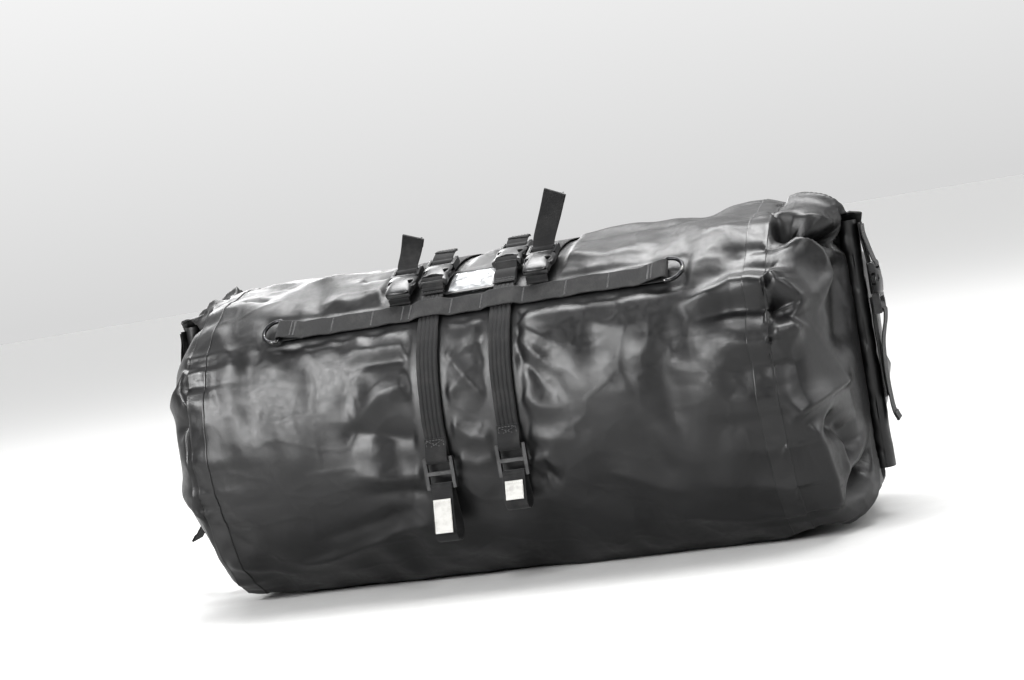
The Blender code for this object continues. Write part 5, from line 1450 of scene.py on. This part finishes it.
    # small arc over the bar, then down the rear run, round the bottom and up the front run
    path2 = small + large
    loop_pts = np.array(path2 + [path2[0]])
    run_len = np.concatenate([[0], np.cumsum(np.linalg.norm(np.diff(loop_pts, axis=0), axis=1))])
    count = int(run_len[-1] / 0.0018)
    at = np.linspace(0, run_len[-1], count, endpoint=False)
    even = np.stack([np.interp(at, run_len, loop_pts[:, k]) for k in range(2)], -1)
    strip("anchor_webbing_%d" % (i + 1), in_yz(even, x), WEB, PLY * 0.85, (1, 0, 0), WEBBING, "loop_%d" % (i + 1), "webbing", ["anchor_loop_front_%d" % (i + 1)], wobble=0.0003, closed=True, seed=51 + i)

    # the blank label, sewn round its edge
    lo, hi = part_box("loop_label_%d" % (i + 1))
    top_z, low_z = hi.z - 0.0002, lo.z + 0.0002
    rows = 26

    def face_y(z):
        along = hinge[1] - z
        return hinge[0] - (0.0049 + along * math.tan(lean)) - 0.0008

    path = [(x, face_y(z) - 0.00015 * math.sin(k * 0.9), z) for k, z in enumerate(np.linspace(top_z, low_z, rows))]
    strip("blank_label_%d" % (i + 1), path, 0.0200, 0.0007, (1, 0, 0), LABEL, "loop_%d" % (i + 1), "label", ["loop_label_%d" % (i + 1)], wobble=0.0001, seed=61 + i)
    n = np.array([0, -1.0, 0])
    y0, y1 = face_y(top_z - 0.0015) - 0.0006, face_y(low_z + 0.0015) - 0.0006
    runs = [([(x - 0.0088, y0, top_z - 0.0015), (x - 0.0088, y1, low_z + 0.0015)], [n, n]), ([(x + 0.0088, y0, top_z - 0.0015), (x + 0.0088, y1, low_z + 0.0015)], [n, n]),
            ([(x - 0.0088, y0, top_z - 0.0015), (x + 0.0088, y0, top_z - 0.0015)], [n, n]), ([(x - 0.0088, y1, low_z + 0.0015), (x + 0.0088, y1, low_z + 0.0015)], [n, n])]
    stitches("label_thread_%d" % (i + 1), runs, "loop_%d" % (i + 1), "label", THREAD_PALE, 0.00028, 0.0016, 0.0008, 0.0002)

# --- webbing over the top and down the back
for i, label in ((0, "top_b"), (1, "top_c")):
    x = BAND_X[i]
    _, t_clip = FRAMES[label]
    ts = np.radians(np.arange(math.degrees(t_clip) + 3.0, 182.0, 1.5))
    run = [over(float(t), GAP + PLY / 2) for t in ts]
    start_y = run[-1][0] + 0.0001
    big, far_by = 0.0140, 0.118 - 0.050 - 0.0140
    cy = start_y
    lean = math.asin((big - 0.0028) / far_by)
    run += [(start_y, 0.160), (start_y + 0.0001, 0.140), (start_y + 0.0010, 0.126)]
    down = [(cy + 0.0028 * math.cos(lean), 0.118 + 0.0028 * math.sin(lean)),
            (cy + (big - 0.0009) * math.cos(lean), 0.118 - far_by + (big - 0.0009) * math.sin(lean))]
    low_arc = [(cy + (big - 0.0009) * math.cos(a), 0.118 - far_by + (big - 0.0009) * math.sin(a)) for a in np.linspace(lean - 0.3, -math.pi - lean, 14)]
    rise_to = [(cy - 0.0022, 0.112), (cy - 0.0004, 0.122)]
    path2 = rounded(run + down + low_arc + rise_to, 0.0022)
    path2[:, 0] = np.where(path2[:, 1] > 0.121, np.maximum(path2[:, 0], -1), path2[:, 0])
    strip("rear_strap_%d" % (i + 1), in_yz(path2, x), WEB, PLY * 0.85, (1, 0, 0), WEBBING, "root", "webbing", ["rear_webbing_%d" % (i + 1)], wobble=0.0006, seed=71 + i)
    n = np.array([0, 1.0, 0])
    yb = start_y + PLY * 0.95
    runs = [([(x + dx, yb, 0.140), (x + dx, yb + 0.0006, 0.127)], [n, n]) for dx in (-0.0098, 0.0098)]
    runs += [([(x - 0.0098, yb, z), (x + 0.0098, yb, z)], [n, n]) for z in (0.140,)]
    stitches("rear_thread_%d" % (i + 1), runs, "root", "webbing", THREAD)

for i, label in ((0, "top_a"), (1, "top_d")):
    x = SIDE_X[i]
    matrix, t_clip = FRAMES[label]
    ts = np.radians(np.arange(math.degrees(t_clip) + 3.0, 180.0 - math.degrees(DAISY_T) - 4.8, 1.5))
    run = [over(float(t), GAP + PLY / 2) for t in ts]
    strip("top_strap_%d" % (i + 1), in_yz(rounded(run, 0.0022), x), WEB, PLY * 0.85, (1, 0, 0), WEBBING, "root", "webbing", ["top_webbing_%d" % (i + 1)], wobble=0.0006, seed=81 + i)
    eye = matrix @ Vector((0, BAR_FEMALE, -0.0024))
    hem = DAISY_T + math.radians(5.2)
    inward = math.degrees(math.atan2(float(matrix.col[1][2]), float(matrix.col[1][1])))
    under = [over(hem, 0.0011), over(hem + math.radians(1.0), 0.0013)]
    wrap = [(eye.y + 0.0040 * math.cos(math.radians(inward + a)), eye.z + 0.0040 * math.sin(math.radians(inward + a))) for a in range(-150, 151, 25)]
    first = math.hypot(wrap[0][0] - under[-1][0], wrap[0][1] - under[-1][1])
    path2 = rounded(under + ([] if first > 0.03 else []) + [(eye.y - 0.0012, eye.z - 0.0040)] + [(eye.y + 0.0040 * math.cos(math.radians(inward + a)), eye.z + 0.0040 * math.sin(math.radians(inward + a))) for a in (100, 140, 180, 220, 260)], 0.0014)
    strip("buckle_tab_%d" % (i + 1), in_yz(path2, x), WEB, PLY * 0.8, (1, 0, 0), WEBBING, "root", "webbing", ["front_tab_%d" % (i + 1)], wobble=0.0001, seed=91 + i)

# --- closure straps on the two ends
for sign, label in ((1, "right"), (-1, "left")):
    matrix, _ = FRAMES["end_" + label]
    bar = matrix @ Vector((0, BAR_FEMALE, 0))
    face = ROLL_X[sign] + sign * (ROLL_FACE + GAP + PLY / 2)
    outer = [(face + sign * 0.0017, 0.3160), (face + sign * 0.0019, 0.3060), (face + sign * 0.0040, 0.2960), (bar.x + sign * 0.0012, bar.z + 0.0062)]
    wrap = [(bar.x + sign * 0.0040 * math.cos(math.radians(a)), bar.z + 0.0040 * math.sin(math.radians(a))) for a in range(50, -161, -20)]
    inner = [(face + sign * 0.0010, 0.2920), (face, 0.3040), (face, 0.3180)]
    path2 = rounded(outer + wrap + inner, 0.0015)
    strip("roll_tab_" + label, [(a, 0.0, z) for a, z in path2], WEB, PLY * 0.82, (0, 1, 0), WEBBING, "root", "webbing", ["closure_tab_" + label], wobble=0.0002, seed=95 + sign)
    run = [(face + sign * 0.00025 * math.sin(k * 0.8), 0.236 - 0.006 * k) for k in range(19)]
    strip("roll_strap_" + label, [(a, 0.0, z) for a, z in rounded(run, 0.002)], WEB, PLY * 0.85, (0, 1, 0), WEBBING, "root", "webbing", ["closure_strap_" + label], wobble=0.0005, seed=97 + sign)
    n = np.array([sign * 1.0, 0, 0])
    runs = []
    xf = face + sign * (0.0018 + PLY * 0.43)
    for z in (0.3140, 0.3075):
        runs.append(([(xf, -0.0105, z), (xf, 0.0105, z)], [n, n]))
    xf = face + sign * (PLY * 0.46)
    for z in (0.1300, 0.1345, 0.2310):
        runs.append(([(xf + sign * 0.0002, -0.0105, z), (xf + sign * 0.0002, 0.0105, z)], [n, n]))
    stitches("closure_thread_" + label, runs, "root", "webbing", THREAD)

# ------------------------------------------------------------------ clear pocket
def build_pocket():
    low, high = DAISY_T + math.radians(7.5), DAISY_T + math.radians(21.0)
    ts = np.linspace(low, high, 44)
    xs = np.linspace(-0.0285, 0.0255, 60)
    x, t = np.meshgrid(xs, ts, indexing="ij")
    y, z, ny, nz = point_normal(t)
    u, v = (x - xs[0]) / (xs[-1] - xs[0]), (t - low) / (high - low)
    rim = np.minimum(np.minimum(u, 1 - u) * 0.054, np.minimum(v, 1 - v) * 0.040)
    puff = smooth(rim, 0.0015, 0.009)
    h = 0.0010 + puff * (0.0016 + 0.0012 * np.sin(u * 17 + 3 * np.sin(v * 5)) * np.sin(v * 6.5 + u * 4))
    h = h + 0.0005 * (1 - smooth(rim, 0.0006, 0.0016))
    top = np.stack([x, y + ny * h, z + nz * h], -1).reshape(-1, 3)
    rows, columns = x.shape
    obj = make("clear_window", top, list(map(tuple, grid_faces(rows, columns, False))), np.stack([x, t * 0.18], -1).reshape(-1, 2))
    outward(obj)
    thick = obj.modifiers.new("film", "SOLIDIFY")
    thick.thickness = 0.0005
    thick.offset = -1
    dress(obj, FILM, "root", "pocket", "clear_pocket")
    # a narrow welded binding round it
    loop = []
    for a in np.linspace(xs[0], xs[-1], 28):
        loop.append((a, low))
    for b in np.linspace(low, high, 22)[1:]:
        loop.append((xs[-1], b))
    for a in np.linspace(xs[-1], xs[0], 28)[1:]:
        loop.append((a, high))
    for b in np.linspace(high, low, 22)[1:-1]:
        loop.append((xs[0], b))
    path, normals = [], []
    for a, b in loop:
        yy, zz, n1, n2 = (float(q) for q in point_normal(b))
        path.append((a, yy + n1 * 0.0012, zz + n2 * 0.0012))
        normals.append((0, n1, n2))
    p = np.array(path)
    tangent = np.roll(p, -1, 0) - np.roll(p, 1, 0)
    side = np.cross(tangent, np.array(normals))
    strip("window_binding", p, 0.0042, 0.0011, side, SEAM, "root", "pocket", closed=True, wobble=0.0001, seed=5)


build_pocket()

# ------------------------------------------------------------------ moulded hardware
def softened(node_name, body, look, radius=0.0007):
    """The CAD hardware with its moulded edges rounded, as a piece of its own."""
    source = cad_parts[node_name]
    bm = bmesh.new()
    bm.from_mesh(source.data)
    bmesh.ops.remove_doubles(bm, verts=bm.verts, dist=2e-6)
    bmesh.ops.dissolve_limit(bm, angle_limit=math.radians(1.5), verts=bm.verts, edges=bm.edges)
    mesh = bpy.data.meshes.new("moulded_" + node_name)
    bm.to_mesh(mesh)
    bm.free()
    obj = bpy.data.objects.new("moulded_" + node_name, mesh)
    SCENE.collection.objects.link(obj)
    edge = obj.modifiers.new("edges", "BEVEL")
    edge.width = radius
    edge.segments = 3
    edge.limit_method = "ANGLE"
    edge.angle_limit = math.radians(28)
    edge.use_clamp_overlap = True
    edge.harden_normals = False
    mesh.shade_smooth()
    smooth_by = obj.modifiers.new("weighted", "WEIGHTED_NORMAL")
    smooth_by.keep_sharp = True
    return dress(obj, look, body, "buckle", node_name)


def block_piece(bm, matrix, centre, size, round_by=0.0003, taper=1.0):
    """One small rounded block in the buckle's own axes, added to bm."""
    made = bmesh.ops.create_cube(bm, size=1.0)["verts"]
    for v in made:
        k = taper if v.co.z > 0 else 1.0
        v.co = Vector((centre[0] + v.co.x * size[0] * k, centre[1] + v.co.y * size[1] * k, centre[2] + v.co.z * size[2]))
    edges = list({e for v in made for e in v.link_edges})
    grown = bmesh.ops.bevel(bm, geom=edges, offset=round_by, segments=2, affect="EDGES", profile=0.6)
    touched = {v for v in made if v.is_valid} | {v for v in grown["verts"] if v.is_valid}
    for v in touched:
        v.co = matrix @ v.co
    return touched


def local_block(low, high):
    bm = bmesh.new()
    for v in bmesh.ops.create_cube(bm, size=1.0)["verts"]:
        v.co = Vector(((low[0] + high[0]) / 2 + v.co.x * (high[0] - low[0]), (low[1] + high[1]) / 2 + v.co.y * (high[1] - low[1]), (low[2] + high[2]) / 2 + v.co.z * (high[2] - low[2])))
    return bm


def local_prism(outline, low, high):
    bm = bmesh.new()
    bottom = [bm.verts.new((x, y, low)) for x, y in outline]
    top = [bm.verts.new((x, y, high)) for x, y in outline]
    n = len(outline)
    bm.faces.new(list(reversed(bottom)))
    bm.faces.new(top)
    for i in range(n):
        bm.faces.new((bottom[i], bottom[(i + 1) % n], top[(i + 1) % n], top[i]))
    bmesh.ops.recalc_face_normals(bm, faces=bm.faces)
    return bm


def sculpted_female(hooded):
    """The female half as moulded: a crowned deck that swells at the shoulders, finger windows that show the prongs,
    and either a hood over the strap's bar or an arch before it."""
    if hooded:
        ys = [0.0, 0.0006, 0.002, 0.006, 0.011, 0.0145, 0.018, 0.021, 0.025, 0.029, 0.032, 0.0345, 0.0362, 0.0372, 0.0377]
        ws = [0.0160, 0.0168, 0.0175, 0.0177, 0.0176, 0.0169, 0.0154, 0.0150, 0.0150, 0.0149, 0.0144, 0.0130, 0.0108, 0.0080, 0.0045]
        hs = [0.0046, 0.0052, 0.0057, 0.0063, 0.0068, 0.0070, 0.0070, 0.0069, 0.0067, 0.0062, 0.0056, 0.0050, 0.0044, 0.0039, 0.0034]
        soft = 2.3
    else:
        ys = [0.0, 0.0006, 0.002, 0.006, 0.011, 0.0145, 0.018, 0.021, 0.025, 0.029, 0.0320, 0.0334, 0.0340]
        ws = [0.0160, 0.0168, 0.0175, 0.0177, 0.0176, 0.0170, 0.0161, 0.0159, 0.0162, 0.0170, 0.0173, 0.0170, 0.0162]
        hs = [0.0046, 0.0052, 0.0057, 0.0062, 0.0066, 0.0066, 0.0064, 0.0062, 0.0058, 0.0050, 0.0044, 0.0040, 0.0034]
        soft = 2.8
    dense = np.interp(np.linspace(0, len(ys) - 1, 44), range(len(ys)), ys)
    width = np.interp(dense, ys, ws)
    height = np.interp(dense, ys, hs)
    around = 48
    points = []
    for y, w, h in zip(dense, width, height):
        for k in range(around):
            t = 2 * math.pi * k / around
            c, si = math.cos(t), math.sin(t)
            e = soft if si > 0 else 6.0
            x = w * math.copysign(abs(c) ** (2 / (3.4 if si > 0 else 6.0)), c)
            z = (h if si > 0 else 0.0054) * math.copysign(abs(si) ** (2 / e), si)
            points.append((x, y, z))
    faces = list(map(tuple, grid_faces(len(dense), around, True)))
    faces.append(tuple(reversed(range(around))))
    faces.append(tuple(range((len(dense) - 1) * around, len(dense) * around)))
    body = outward(make("female_master_%d" % hooded, points, faces))
    cuts = [
        local_block((-0.0146, -0.002, -0.0033), (0.0146, 0.0245, 0.0033)),
        local_block((-0.030, -0.003, -0.0026), (0.030, 0.0225, 0.0026)),
    ]
    for side in (-1, 1):
        cuts.append(local_prism([(side * 0.0088, 0.0148), (side * 0.0140, 0.0118), (side * 0.0152, 0.0132), (side * 0.0128, 0.0206), (side * 0.0118, 0.0206)][::side], 0.001, 0.012))
    if hooded:
        cuts += [local_block((-0.0130, 0.0255, -0.008), (0.0130, 0.0295, 0.0027)), local_block((-0.0131, 0.0294, -0.008), (0.0131, 0.045, -0.0044)),
                 local_block((-0.0132, 0.0293, -0.0004), (0.0132, 0.0335, 0.0027)), local_block((-0.0200, 0.0334, -0.009), (0.0200, 0.050, 0.0022))]
    else:
        arch = [(0.0131 * math.cos(math.radians(t)), 0.0350 - 0.0115 * math.sin(math.radians(t))) for t in range(0, 181, 12)]
        cuts += [local_block((-0.0130, 0.0262, -0.008), (0.0130, 0.0295, 0.008)), local_block((-0.0131, 0.0294, -0.008), (0.0131, 0.045, -0.0020)),
                 local_prism(arch[::-1], 0.0020, 0.012)]
    tools = []
    for i, bm in enumerate(cuts):
        mesh = bpy.data.meshes.new("cut")
        bm.to_mesh(mesh)
        bm.free()
        tool = bpy.data.objects.new("cut_%d" % i, mesh)
        SCENE.collection.objects.link(tool)
        step = body.modifiers.new("cut_%d" % i, "BOOLEAN")
        step.operation = "DIFFERENCE"
        step.object = tool
        step.solver = "EXACT"
        tools.append(tool)
    edge = body.modifiers.new("edges", "BEVEL")
    edge.width, edge.segments, edge.limit_method, edge.angle_limit = 0.00035, 2, "ANGLE", math.radians(40)
    bpy.context.view_layer.update()
    mesh = bpy.data.meshes.new_from_object(body.evaluated_get(bpy.context.evaluated_depsgraph_get()))
    for o in tools + [body]:
        bpy.data.objects.remove(o, do_unlink=True)
    return mesh


def female_piece(label, master, matrix):
    mesh = master.copy()
    mesh.transform(matrix)
    obj = bpy.data.objects.new("moulded_female_" + label, mesh)
    SCENE.collection.objects.link(obj)
    mesh.shade_smooth()
    mesh.set_sharp_from_angle(angle=math.radians(32))
    return dress(obj, BUCKLE, "root", "buckle", "clip_female_" + label)


def trim(label, matrix):
    """Grip ribs on the prongs and raised borders on the male half."""
    bm = bmesh.new()
    for side in (-1, 1):
        for k in range(4):
            block_piece(bm, matrix, (side * 0.0166, 0.0120 + 0.0021 * k, 0.0), (0.0014, 0.0011, 0.0036), 0.0003, 1.0)
    block_piece(bm, matrix, (0, -0.0025, 0.0041), (0.0180, 0.0020, 0.0008), 0.0003, 0.9)
    for side in (-1, 1):
        block_piece(bm, matrix, (side * 0.0149, -0.0130, 0.0041), (0.0020, 0.0140, 0.0008), 0.0003, 0.85)
    mesh = bpy.data.meshes.new("male_trim_" + label)
    bm.to_mesh(mesh)
    bm.free()
    obj = bpy.data.objects.new("male_trim_" + label, mesh)
    SCENE.collection.objects.link(obj)
    mesh.shade_smooth()
    dress(outward(obj), BUCKLE, "clip_" + label, "buckle")


MASTERS = {True: sculpted_female(True), False: sculpted_female(False)}
for label in ROUTES:
    female_piece(label, MASTERS[label in ("top_a", "top_d")], FRAMES[label][0])
    softened("clip_male_" + label, "clip_" + label, BUCKLE, 0.0004)
    trim(label, FRAMES[label][0])
for i in (1, 2):
    softened("ladder_lock_%d" % i, "lock_%d" % i, BUCKLE, 0.0005)
